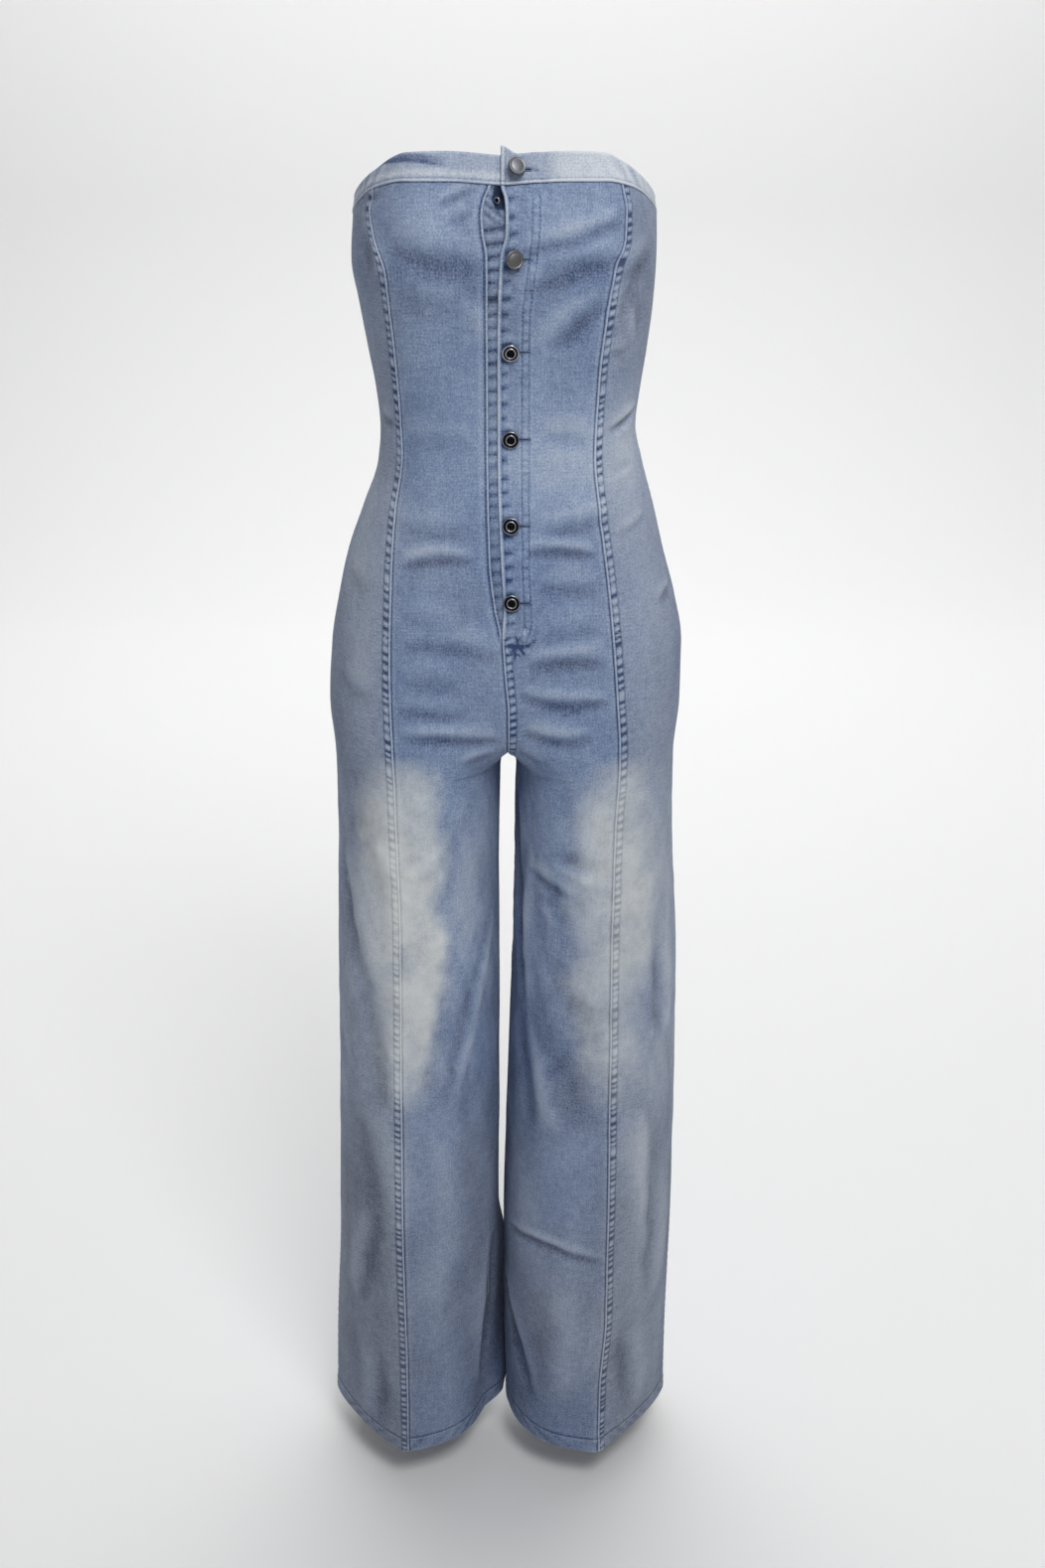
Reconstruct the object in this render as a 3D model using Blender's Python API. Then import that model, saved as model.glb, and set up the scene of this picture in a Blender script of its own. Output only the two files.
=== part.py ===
"""Strapless denim jumpsuit with wide legs, in the hollow form it has when worn.

Metres, +Z up.  The front faces -Y and the garment's left is +X.  The origin lies on the body's centre
line, level with the seam between the top band and the front panels at the centre front.

The cloth follows one form.  At each height a half of the form is a ring of four quarter
superellipses: two outer ones that meet at the side seam, and two inner ones that a plane through the
centre seams cuts off on the body, and that close on the inseam below the crotch.  Every piece is a
wall on a stretch of these rings.
"""
import math

import bmesh
import bpy
import numpy as np
from mathutils import Matrix, Vector

MM = 0.001

# Cloth and seams
WALL = 1.5 * MM
BAND_WALL = 2.2 * MM
BAND_PROUD = 0.5 * MM
SEAM_GAP = 0.3 * MM

# The fork between the legs
CROTCH = -0.512
HEM = -1.312
FORK_HEIGHT = 0.06
FORK_REACH_FRONT = -0.17
FORK_REACH_BACK = -0.12
FORK_POWER = 1.5
FLAT_REACH = -0.40
FORK_ROUND = 0.0065

# One row for each height of the worn form.  cut is the x of the plane between the halves; right and
# left are the half widths from it on the garment's right and left; front and back are the depths
# from the side seams; the crowns are how far out from cut each half is deepest; outer and inner are
# the powers of the front's quarters (2 is round, 1 is straight); parting is half the gap at the
# inseams below the crotch.
SECTION_COLUMNS = (
    "z", "cut", "right", "left", "front", "back", "crown_right", "crown_left",
    "outer", "inner_right", "inner_left", "parting",
)
SECTIONS = (
    (0.030, 0.000, 0.1240, 0.1205, 0.107, 0.093, 0.058, 0.058, 2.2, 2.2, 2.2, 0.0065),
    (0.000, 0.000, 0.1285, 0.1250, 0.114, 0.097, 0.060, 0.060, 2.2, 2.2, 2.2, 0.0065),
    (-0.030, 0.000, 0.1330, 0.1290, 0.119, 0.100, 0.062, 0.062, 2.2, 2.2, 2.2, 0.0065),
    (-0.062, 0.000, 0.1352, 0.1300, 0.120, 0.100, 0.063, 0.063, 2.2, 2.2, 2.2, 0.0065),
    (-0.092, 0.000, 0.1305, 0.1287, 0.116, 0.096, 0.060, 0.060, 2.2, 2.2, 2.2, 0.0065),
    (-0.131, 0.000, 0.1245, 0.1248, 0.106, 0.087, 0.054, 0.054, 2.2, 2.2, 2.2, 0.0065),
    (-0.170, 0.000, 0.1180, 0.1197, 0.0965, 0.077, 0.048, 0.048, 2.2, 2.2, 2.2, 0.0065),
    (-0.205, 0.000, 0.1150, 0.1160, 0.0910, 0.072, 0.045, 0.045, 2.2, 2.2, 2.2, 0.0065),
    (-0.237, 0.000, 0.1183, 0.1225, 0.0908, 0.074, 0.046, 0.046, 2.2, 2.2, 2.2, 0.0065),
    (-0.278, 0.000, 0.1330, 0.1340, 0.0965, 0.085, 0.052, 0.052, 2.2, 2.2, 2.2, 0.0065),
    (-0.320, 0.000, 0.1487, 0.1445, 0.104, 0.098, 0.060, 0.060, 2.2, 2.2, 2.2, 0.0065),
    (-0.363, 0.000, 0.1593, 0.1565, 0.110, 0.110, 0.067, 0.067, 2.2, 2.2, 2.2, 0.0065),
    (-0.407, 0.000, 0.1675, 0.1645, 0.115, 0.118, 0.073, 0.073, 2.2, 2.2, 2.2, 0.0065),
    (-0.460, 0.000, 0.1715, 0.1645, 0.118, 0.120, 0.079, 0.079, 2.2, 2.2, 2.2, 0.0065),
    (-0.512, 0.000, 0.1675, 0.1600, 0.119, 0.116, 0.083, 0.083, 2.2, 2.2, 2.2, 0.0065),
    (-0.560, -0.001, 0.1665, 0.1612, 0.119, 0.111, 0.086, 0.086, 2.2, 2.2, 2.2, 0.0065),
    (-0.700, -0.003, 0.1707, 0.1712, 0.117, 0.103, 0.089, 0.088, 2.2, 2.2, 2.2, 0.0060),
    (-0.900, -0.007, 0.1734, 0.1804, 0.112, 0.097, 0.095, 0.091, 2.1, 2.1, 2.2, 0.0048),
    (-1.060, -0.010, 0.1765, 0.1862, 0.108, 0.092, 0.101, 0.094, 1.8, 2.0, 2.2, 0.0030),
    (-1.200, -0.009, 0.1865, 0.1840, 0.104, 0.088, 0.107, 0.098, 1.5, 1.8, 2.2, 0.0026),
    (-1.312, -0.007, 0.1938, 0.1830, 0.101, 0.085, 0.112, 0.102, 1.2, 1.7, 2.2, 0.0024),
)

# How far the front princess seams lie from the plane between the halves.
PRINCESS_COLUMNS = ("z", "right", "left")
PRINCESS = (
    (0.030, 0.1035, 0.0870),
    (0.000, 0.1075, 0.0935),
    (-0.020, 0.1110, 0.0973),
    (-0.040, 0.1073, 0.0966),
    (-0.066, 0.0988, 0.0884),
    (-0.090, 0.0966, 0.0838),
    (-0.150, 0.0928, 0.0778),
    (-0.220, 0.0912, 0.0754),
    (-0.270, 0.0980, 0.0804),
    (-0.330, 0.1020, 0.0884),
    (-0.430, 0.1046, 0.0976),
    (-0.490, 0.1034, 0.1012),
    (-0.560, 0.1014, 0.0996),
    (-0.650, 0.0990, 0.1002),
    (-0.850, 0.0996, 0.1054),
    (-1.060, 0.0994, 0.1110),
    (-1.130, 0.0998, 0.1108),
    (-1.220, 0.1012, 0.1046),
    (-1.312, 0.1046, 0.1028),
)

# The buttoned opening, as x from the plane between the halves: edge is where the placket ends, and
# join is the seam between the garment's right front and the button stand.
OPENING_COLUMNS = ("z", "edge", "join")
OPENING = (
    (0.030, -0.0035, -0.0100),
    (0.000, -0.0040, -0.0120),
    (-0.010, -0.0012, -0.0162),
    (-0.022, -0.0003, -0.0184),
    (-0.036, -0.0006, -0.0176),
    (-0.055, -0.0050, -0.0147),
    (-0.130, -0.0078, -0.0152),
    (-0.230, -0.0083, -0.0158),
    (-0.310, -0.0058, -0.0142),
    (-0.352, -0.0036, -0.0094),
    (-0.375, -0.0048, -0.0048),
    (-0.395, -0.0038, -0.0038),
    (-0.420, -0.0020, -0.0020),
    (-0.445, 0.0, 0.0),
    (-1.312, 0.0, 0.0),
)
STAND_INNER_END = 0.020
STAND_FOOT = -0.375
STAND_SHOWS_LEAST = 0.001
PLACKET_FLAT = 0.0215
PLACKET_RAMP = 0.0320
PLACKET_FADE = 0.028

# Heights of the band's lower seam and top edge by place round the body: 0 is the centre front, 1 the
# side seam and 2 the centre back.
RIM_COLUMNS = ("place", "seam", "top")
RIM = (
    (0.00, 0.000, 0.0225),
    (0.25, 0.003, 0.0260),
    (0.40, 0.003, 0.0250),
    (0.50, 0.000, 0.0180),
    (0.60, -0.005, 0.0095),
    (0.70, -0.012, 0.0020),
    (0.85, -0.021, -0.0070),
    (1.00, -0.028, -0.0120),
    (1.30, -0.038, -0.0170),
    (2.00, -0.042, -0.0190),
)
RIM_FADE = 0.16
BAND_CORNER_RISE = 0.007
BAND_CORNER_LENGTH = 0.014

# Buttons: z, x, and how far each cap leans towards the garment's left and upwards, in degrees.
BUTTON_COLUMNS = ("z", "x", "lean_left", "lean_up")
BUTTONS = (
    (0.0115, 0.0065, 10.0, 7.0),
    (-0.0560, 0.0050, 12.0, 3.0),
    (-0.1300, 0.0036, 0.0, 0.0),
    (-0.2050, 0.0034, 0.0, 0.0),
    (-0.2795, 0.0034, 0.0, 0.0),
    (-0.3455, 0.0040, 0.0, 0.0),
)
CAP_RADIUS = 7.5 * MM
CAP_HEIGHT = 2.6 * MM
POST_RADIUS = 1.8 * MM
POST_RISE = 0.6 * MM
HOLE_ROUND = 2.4 * MM
HOLE_TAIL = 0.6 * MM
HOLE_END = 0.0195
TURN_STEPS = 16

# Each long panel is a row of solids, one for each stretch, from the last one's foot to its own.
STRETCH_COLUMNS = ("name", "foot")
STRETCHES = (
    ("bodice", -0.242),
    ("hips", -0.454),
    ("leg", -0.860),
    ("hem", -1.312),
)

STUD_PLACE = (-0.0078, -0.0085)
STUD_RADIUS = 2.8 * MM
STUD_HEIGHT = 1.2 * MM

# Faceting
RING_STEPS = 90
CENTRE_COLUMNS = 10
CENTRE_MIDDLE = 0.55
SIDE_COLUMNS = 5
BACK_COLUMNS = 12
REAR_MIDDLE = 0.50
BAND_ROWS = 2
BODY_ROW_STEP = 0.040
LEG_ROW_STEP = 0.115
FORK_ROWS = (0.058, 0.038, 0.022, 0.011, 0.004)
NORMAL_STEP = 0.002
FRAME_STEP = 0.018

DENIM = ("denim", (0.26, 0.34, 0.46), 0.92, 0.0)
DENIM_BAND = ("denim_band", (0.34, 0.42, 0.53), 0.92, 0.0)
GUNMETAL = ("button_metal", (0.16, 0.16, 0.17), 0.35, 1.0)
SILVER = ("button_silver", (0.62, 0.63, 0.64), 0.28, 1.0)


def column(table, names, name, at):
    """The named column of a table at one place, on a curve through its rows without overshoot."""
    rows = sorted(table)
    places = np.array([row[0] for row in rows])
    values = np.array([row[names.index(name)] for row in rows])
    at = float(np.clip(at, places[0], places[-1]))
    gaps = np.diff(places)
    slopes = np.diff(values) / gaps
    tangents = np.zeros(len(rows))
    for i in range(1, len(rows) - 1):
        if slopes[i - 1] * slopes[i] > 0:
            near = 2 * gaps[i] + gaps[i - 1]
            far = gaps[i] + 2 * gaps[i - 1]
            tangents[i] = (near + far) / (near / slopes[i - 1] + far / slopes[i])
    tangents[0] = slopes[0]
    tangents[-1] = slopes[-1]
    i = int(min(np.searchsorted(places, at, side="right") - 1, len(gaps) - 1))
    t = (at - places[i]) / gaps[i]
    return float(
        (1 + 2 * t) * (1 - t) ** 2 * values[i]
        + t * (1 - t) ** 2 * gaps[i] * tangents[i]
        + t * t * (3 - 2 * t) * values[i + 1]
        + t * t * (t - 1) * gaps[i] * tangents[i + 1]
    )


def section(name, z):
    return column(SECTIONS, SECTION_COLUMNS, name, z)


def smooth_step(value):
    value = min(max(value, 0.0), 1.0)
    return value * value * (3 - 2 * value)


def inner_reach(z, fork_reach):
    """Where the inner quarters would close: across the centre plane on the body, at the inseam below."""
    if z > CROTCH:
        reach = fork_reach * ((z - CROTCH) / FORK_HEIGHT) ** FORK_POWER
        return max(reach, FLAT_REACH)
    drop = CROTCH - z
    if drop < FORK_ROUND:
        reach = math.sqrt(FORK_ROUND ** 2 - (FORK_ROUND - drop) ** 2)
        return max(reach, SEAM_GAP / 2)
    return section("parting", z)


RINGS = {}


def half_ring(z, side, face):
    """Points (distance out from the centre plane, y) from the centre seam or inseam to the side seam.

    side is +1 for the garment's left and -1 for the right; face is -1 for the front, +1 for the back.
    Returns the arc length of each point too.
    """
    key = (round(z, 6), side, face)
    if key in RINGS:
        return RINGS[key]
    hand = "left" if side > 0 else "right"
    width = section(hand, z)
    crown = section("crown_" + hand, z)
    if face < 0:
        depth = section("front", z)
        outer = section("outer", z)
        inner = section("inner_" + hand, z)
        reach = inner_reach(z, FORK_REACH_FRONT)
    else:
        depth = section("back", z)
        outer = section("outer", CROTCH)
        inner = outer
        reach = inner_reach(z, FORK_REACH_BACK)
    start = 0.5 * math.pi
    if reach < 0:
        start = math.asin((crown / (crown - reach)) ** (inner / 2))
    inward = np.linspace(start, 0.0, RING_STEPS)
    outward = np.linspace(0.0, 0.5 * math.pi, RING_STEPS)[1:]
    out = np.concatenate((
        crown - (crown - reach) * np.sin(inward) ** (2 / inner),
        crown + (width - crown) * np.sin(outward) ** (2 / outer),
    ))
    y = face * depth * np.concatenate((
        np.clip(np.cos(inward), 0, 1) ** (2 / inner),
        np.clip(np.cos(outward), 0, 1) ** (2 / outer),
    ))
    arc = np.concatenate(([0.0], np.cumsum(np.hypot(np.diff(out), np.diff(y)))))
    RINGS[key] = (out, y, arc)
    return RINGS[key]


def skin(face, along, z):
    """The point of the form at a signed arc length from the centre plane, + towards the garment's left."""
    side = 1 if along >= 0 else -1
    out, y, arc = half_ring(z, side, face)
    reach = abs(along)
    x = section("cut", z) + side * np.interp(reach, arc, out)
    return Vector((x, float(np.interp(reach, arc, y)), z))


def around(face, along, z):
    """skin(), carried on past the side seam on to the other face."""
    side = 1 if along >= 0 else -1
    past = abs(along) - side_length(z, side, face)
    if past <= 0:
        return skin(face, along, z)
    return skin(-face, side * (side_length(z, side, -face) - past), z)


def outward(face, along, z):
    """The form's unit normal there, pointing out of the garment."""
    side = 1 if along >= 0 else -1
    reach = abs(along)
    here = skin(face, along, z)
    far = around(face, side * (reach + NORMAL_STEP), z)
    if reach > NORMAL_STEP or z > CROTCH + FORK_HEIGHT:
        near = skin(face, along - side * NORMAL_STEP, z)
    elif z > CROTCH:
        near = here
    else:
        near = skin(-face, side * (NORMAL_STEP - reach), z)
    across = (far - near) * side
    lower = z - NORMAL_STEP
    shorter = side_length(z, side, face) - side_length(lower, side, face)
    up = here - skin(face, side * max(reach - shorter, 0.0), lower)
    normal = across.cross(up) if face < 0 else up.cross(across)
    return normal.normalized()


def side_length(z, side, face):
    return half_ring(z, side, face)[2][-1]


def length_at(distance, z, side, face):
    """Arc length from the centre seam or inseam to a distance out from the plane between the halves."""
    out, _, arc = half_ring(z, side, face)
    return float(np.interp(distance, out, arc))


def princess_place(z, side):
    return column(PRINCESS, PRINCESS_COLUMNS, "left" if side > 0 else "right", z)


def princess_length(z, side):
    """Arc length from the centre plane to the front princess seam."""
    return length_at(princess_place(z, side), z, side, -1)


def opening_at(name, z):
    return column(OPENING, OPENING_COLUMNS, name, z)


def rim_height(name, place):
    return column(RIM, RIM_COLUMNS, name, place)


def rim_place(face, along, z):
    share = abs(along) / side_length(z, 1 if along >= 0 else -1, face)
    return share if face < 0 else 2 - share


def row_heights():
    """Heights from the band seam to the hem: at each button, at the stand's foot and close at the fork."""
    marks = [0.0] + [place[0] for place in BUTTONS[1:]] + [STAND_FOOT, CROTCH + FORK_ROWS[0]]
    rows = []
    for high, low in zip(marks, marks[1:]):
        steps = math.ceil((high - low) / BODY_ROW_STEP)
        rows += [high + (low - high) * i / steps for i in range(steps)]
    rows += [CROTCH + height for height in FORK_ROWS]
    rows.append(CROTCH)
    leg_top = CROTCH - FORK_ROUND
    leg_rows = math.ceil((leg_top - HEM) / LEG_ROW_STEP)
    rows += [leg_top + (HEM - leg_top) * i / leg_rows for i in range(leg_rows + 1)]
    return rows


def stretches(rows):
    """Each stretch's name and rows.  Two meet at the row nearest the foot, half a seam gap from it."""
    found = []
    first = 0
    for name, foot in STRETCHES:
        last = min(range(len(rows)), key=lambda i: abs(rows[i] - foot))
        part = rows[first:last + 1]
        if first > 0:
            part[0] -= SEAM_GAP / 2
        if last < len(rows) - 1:
            part[-1] += SEAM_GAP / 2
        found.append((name, part))
        first = last
    return found


def hung_place(face, columns_at, number, row):
    """The arc length and height of a panel's column at a row whose top follows the band's seam."""
    fade = min(max(1 + row / RIM_FADE, 0.0), 1.0)
    z = row
    for _ in range(4):
        along = columns_at(z)[number]
        seam = rim_height("seam", rim_place(face, along, z)) - SEAM_GAP / 2
        z = row + fade * seam
    return columns_at(z)[number], z


def material(spec):
    name, colour, roughness, metallic = spec
    found = bpy.data.materials.get(name)
    if found:
        return found
    made = bpy.data.materials.new(name)
    made.use_nodes = True
    shader = made.node_tree.nodes["Principled BSDF"]
    shader.inputs["Base Color"].default_value = (*colour, 1.0)
    shader.inputs["Roughness"].default_value = roughness
    shader.inputs["Metallic"].default_value = metallic
    made.diffuse_color = (*colour, 1.0)
    return made


def new_object(name, mesh_data, finish):
    made = bpy.data.objects.new(name, mesh_data)
    bpy.context.scene.collection.objects.link(made)
    if finish:
        mesh_data.materials.append(material(finish))
    return made


def wall_object(name, outer_rows, inner_rows, finish):
    """A closed wall between two grids of points that match row for row."""
    mesh = bmesh.new()
    outer = [[mesh.verts.new(point) for point in row] for row in outer_rows]
    inner = [[mesh.verts.new(point) for point in row] for row in inner_rows]
    last = len(outer[0]) - 1
    for i in range(len(outer) - 1):
        for j in range(last):
            mesh.faces.new((outer[i][j], outer[i][j + 1], outer[i + 1][j + 1], outer[i + 1][j]))
            mesh.faces.new((inner[i][j], inner[i + 1][j], inner[i + 1][j + 1], inner[i][j + 1]))
        mesh.faces.new((outer[i][0], outer[i + 1][0], inner[i + 1][0], inner[i][0]))
        mesh.faces.new((outer[i][last], inner[i][last], inner[i + 1][last], outer[i + 1][last]))
    for j in range(last):
        mesh.faces.new((outer[0][j], inner[0][j], inner[0][j + 1], outer[0][j + 1]))
        mesh.faces.new((outer[-1][j], outer[-1][j + 1], inner[-1][j + 1], inner[-1][j]))
    bmesh.ops.recalc_face_normals(mesh, faces=mesh.faces)
    mesh_data = bpy.data.meshes.new(name)
    mesh.to_mesh(mesh_data)
    mesh.free()
    made = new_object(name, mesh_data, finish)
    mesh_data.shade_smooth()
    mesh_data.set_sharp_from_angle(angle=math.radians(40))
    return made


def panel(name, face, columns_at, rows, lift=None):
    """A panel between seams.  columns_at gives the signed arc lengths of its columns at a height."""
    outer_rows = []
    inner_rows = []
    for row in rows:
        outer = []
        inner = []
        for number in range(len(columns_at(row))):
            along, z = hung_place(face, columns_at, number, row)
            normal = outward(face, along, z)
            raised = lift(along, z) if lift else 0.0
            point = skin(face, along, z) + normal * raised
            outer.append(point)
            inner.append(point - normal * WALL)
        outer_rows.append(outer)
        inner_rows.append(inner)
    return wall_object(name, outer_rows, inner_rows, DENIM)


def between(start, end, steps):
    """Columns from one seam to another, half a seam gap inside each."""
    start += SEAM_GAP / 2
    end -= SEAM_GAP / 2
    return [start + (end - start) * j / steps for j in range(steps + 1)]


def through(start, middle, end, steps):
    """between(), with half of the steps on each side of a place in the middle."""
    start += SEAM_GAP / 2
    end -= SEAM_GAP / 2
    half = steps // 2
    near = [start + (middle - start) * j / half for j in range(half)]
    return near + [middle + (end - middle) * j / half for j in range(half + 1)]


def centre_middle(z, side):
    return side * length_at(CENTRE_MIDDLE * princess_place(z, side), z, side, -1)


def rear_middle(z, side):
    width = section("left" if side > 0 else "right", z)
    return side * length_at(REAR_MIDDLE * width, z, side, 1)


def side_right(z):
    return between(-side_length(z, -1, -1), -princess_length(z, -1), SIDE_COLUMNS)


def side_left(z):
    return between(princess_length(z, 1), side_length(z, 1, -1), SIDE_COLUMNS)


def centre_right(z):
    seam = -princess_length(z, -1)
    return through(seam, centre_middle(z, -1), opening_at("join", z), CENTRE_COLUMNS)


def centre_left(z):
    """The first columns are the placket's, down to its foot, then all are spread over the panel."""
    seam = princess_length(z, 1)
    edge = opening_at("edge", z)
    spread = through(edge, centre_middle(z, 1), seam, CENTRE_COLUMNS)
    rest = between(PLACKET_RAMP - SEAM_GAP / 2, seam, CENTRE_COLUMNS - 3)
    start = edge + SEAM_GAP / 2
    placket = [start, 0.5 * (start + PLACKET_FLAT), PLACKET_FLAT] + rest
    share = smooth_step(1 + (z - STAND_FOOT + PLACKET_FADE) / PLACKET_FADE)
    return [low + (high - low) * share for low, high in zip(spread, placket)]


def stand_strip(z):
    """Columns in line with the placket's, which lies on them."""
    start = opening_at("join", z) + SEAM_GAP / 2
    edge = max(opening_at("edge", z), start + STAND_SHOWS_LEAST)
    return [start, edge, 0.5 * (edge + PLACKET_FLAT), STAND_INNER_END]


def rear_right(z):
    return through(-side_length(z, -1, 1), rear_middle(z, -1), 0.0, BACK_COLUMNS)


def rear_left(z):
    return through(0.0, rear_middle(z, 1), side_length(z, 1, 1), BACK_COLUMNS)


def overlap_step(along, step):
    """The step that the overlapping layer takes out of the form, back level beyond the placket."""
    return step * (1 - smooth_step((along - PLACKET_FLAT) / (PLACKET_RAMP - PLACKET_FLAT)))


def placket_lift(along, z):
    """How far the overlapping front stands out of the form, to lie over the button stand."""
    down = smooth_step((z - STAND_FOOT) / PLACKET_FADE + 1)
    return overlap_step(along, WALL + SEAM_GAP) * down


def band_place(face, columns_at, number, share, corner):
    """The arc length and height of a band's column, share of the way from its seam to its top edge."""
    z = 0.0
    for _ in range(4):
        along = columns_at(z)[number]
        place = rim_place(face, along, z)
        seam = rim_height("seam", place) + SEAM_GAP / 2
        top = rim_height("top", place)
        if corner and face < 0:
            reach = (along - opening_at("edge", z)) / BAND_CORNER_LENGTH
            top += BAND_CORNER_RISE * (1 - smooth_step(reach))
        z = seam + (top - seam) * share
    return columns_at(z)[number], z


def band(name, front_columns, rear_columns, over):
    """Half of the top band, from the centre front round the side seam to the centre back."""
    columns = [(-1, front_columns, number) for number in range(len(front_columns(0.0)))]
    columns += [(1, rear_columns, number) for number in range(1, len(rear_columns(0.0)))]
    outer_rows = []
    inner_rows = []
    for row in range(BAND_ROWS + 1):
        outer = []
        inner = []
        for face, columns_at, number in columns:
            along, z = band_place(face, columns_at, number, row / BAND_ROWS, over)
            normal = outward(face, along, z)
            proud = BAND_PROUD
            if over and face < 0:
                proud += overlap_step(along, BAND_WALL + SEAM_GAP)
            point = skin(face, along, z) + normal * proud
            outer.append(point)
            inner.append(point - normal * BAND_WALL)
        outer_rows.append(outer)
        inner_rows.append(inner)
    return wall_object(name, outer_rows, inner_rows, DENIM_BAND)


def bands():
    """Both halves of the band, on the columns of the panels below.  The left one laps over."""
    def right_front(z):
        under_placket = [STAND_INNER_END, STAND_INNER_END / 2]
        return under_placket + centre_right(z)[::-1] + side_right(z)[::-1][1:]

    def left_front(z):
        return centre_left(z) + side_left(z)[1:]

    def left_rear(z):
        return rear_left(z)[::-1]

    band("band_right", right_front, rear_right, False)
    return band("band_left", left_front, left_rear, True)


def facing_frame(x, z, lift):
    """A frame on the front with its own Z out of the cloth and X to the garment's left."""
    along = x - section("cut", z)
    up = (skin(-1, along, z + FRAME_STEP) - skin(-1, along, z - FRAME_STEP)).normalized()
    normal = Vector((1, 0, 0)).cross(up)
    frame = Matrix((up.cross(normal), up, normal)).transposed().to_4x4()
    frame.translation = skin(-1, along, z) + normal * lift
    return frame


def turned_mesh(name, profile, steps):
    """A closed solid turned about Z from (radius, height) points, the ends on the axis."""
    mesh = bmesh.new()
    rings = []
    for radius, height in profile:
        if radius == 0:
            rings.append([mesh.verts.new((0, 0, height))])
            continue
        ring = []
        for i in range(steps):
            angle = 2 * math.pi * i / steps
            ring.append(mesh.verts.new((radius * math.cos(angle), radius * math.sin(angle), height)))
        rings.append(ring)
    for low, high in zip(rings, rings[1:]):
        for i in range(steps):
            k = (i + 1) % steps
            if len(low) == 1:
                mesh.faces.new((low[0], high[k], high[i]))
            elif len(high) == 1:
                mesh.faces.new((low[i], low[k], high[0]))
            else:
                mesh.faces.new((low[i], low[k], high[k], high[i]))
    bmesh.ops.recalc_face_normals(mesh, faces=mesh.faces)
    mesh_data = bpy.data.meshes.new(name)
    mesh.to_mesh(mesh_data)
    mesh.free()
    mesh_data.shade_smooth()
    mesh_data.set_sharp_from_angle(angle=math.radians(40))
    return mesh_data


def shank_button(name, place, seat, cloth_top, finish):
    """A cap on a post.  seat is the face that carries the post and cloth_top the one under the cap."""
    lean = math.radians(math.hypot(place["lean_left"], place["lean_up"]))
    foot_rise = POST_RADIUS * math.sin(lean)
    under = cloth_top - seat + POST_RISE + CAP_RADIUS * math.sin(lean)
    profile = (
        (0, 0),
        (POST_RADIUS, 0),
        (POST_RADIUS, under),
        (CAP_RADIUS * 0.86, under),
        (CAP_RADIUS, under + CAP_HEIGHT * 0.35),
        (CAP_RADIUS * 0.90, under + CAP_HEIGHT * 0.90),
        (CAP_RADIUS * 0.52, under + CAP_HEIGHT),
        (CAP_RADIUS * 0.44, under + CAP_HEIGHT * 0.80),
        (0, under + CAP_HEIGHT * 0.80),
    )
    made = new_object(name, turned_mesh(name, profile, TURN_STEPS), finish)
    frame = facing_frame(place["x"], place["z"], seat + SEAM_GAP + foot_rise)
    turn_left = Matrix.Rotation(math.radians(place["lean_left"]), 4, "Y")
    turn_up = Matrix.Rotation(-math.radians(place["lean_up"]), 4, "X")
    made.matrix_world = frame @ turn_left @ turn_up


def buttonhole_cutter(name, holes, cloth_low, cloth_top):
    """Keyhole prisms through the cloth: round at the post, tapering towards the garment's left."""
    mesh = bmesh.new()
    for hole in holes:
        frame = facing_frame(hole["x"], hole["z"], 0.0)
        tail = HOLE_END - hole["x"]
        outline = []
        for i in range(9):
            angle = math.radians(90 + 180 * i / 8)
            outline.append((HOLE_ROUND * math.cos(angle), HOLE_ROUND * math.sin(angle)))
        for i in range(4):
            angle = math.radians(-80 + 160 * i / 3)
            outline.append((tail + HOLE_TAIL * math.cos(angle), HOLE_TAIL * math.sin(angle)))
        low = [mesh.verts.new(frame @ Vector((px, py, cloth_low - 2 * MM))) for px, py in outline]
        high = [mesh.verts.new(frame @ Vector((px, py, cloth_top + 2 * MM))) for px, py in outline]
        mesh.faces.new(low)
        mesh.faces.new(list(reversed(high)))
        for i in range(len(outline)):
            k = (i + 1) % len(outline)
            mesh.faces.new((low[i], high[i], high[k], low[k]))
    bmesh.ops.recalc_face_normals(mesh, faces=mesh.faces)
    mesh_data = bpy.data.meshes.new(name)
    mesh.to_mesh(mesh_data)
    mesh.free()
    cutter = new_object(name, mesh_data, None)
    cutter.hide_render = True
    cutter.display_type = "WIRE"
    return cutter


def cut_holes(cloth, cutter):
    holes = cloth.modifiers.new("buttonholes", "BOOLEAN")
    holes.operation = "DIFFERENCE"
    holes.solver = "EXACT"
    holes.object = cutter


def fly_stud():
    """The small metal stud on the stand beside the placket's top end."""
    profile = (
        (0, 0),
        (STUD_RADIUS, 0),
        (STUD_RADIUS * 0.9, STUD_HEIGHT * 0.8),
        (STUD_RADIUS * 0.55, STUD_HEIGHT),
        (STUD_RADIUS * 0.45, STUD_HEIGHT * 0.6),
        (0, STUD_HEIGHT * 0.6),
    )
    made = new_object("fly_stud", turned_mesh("fly_stud", profile, TURN_STEPS), SILVER)
    made.matrix_world = facing_frame(STUD_PLACE[0], STUD_PLACE[1], SEAM_GAP)


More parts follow.
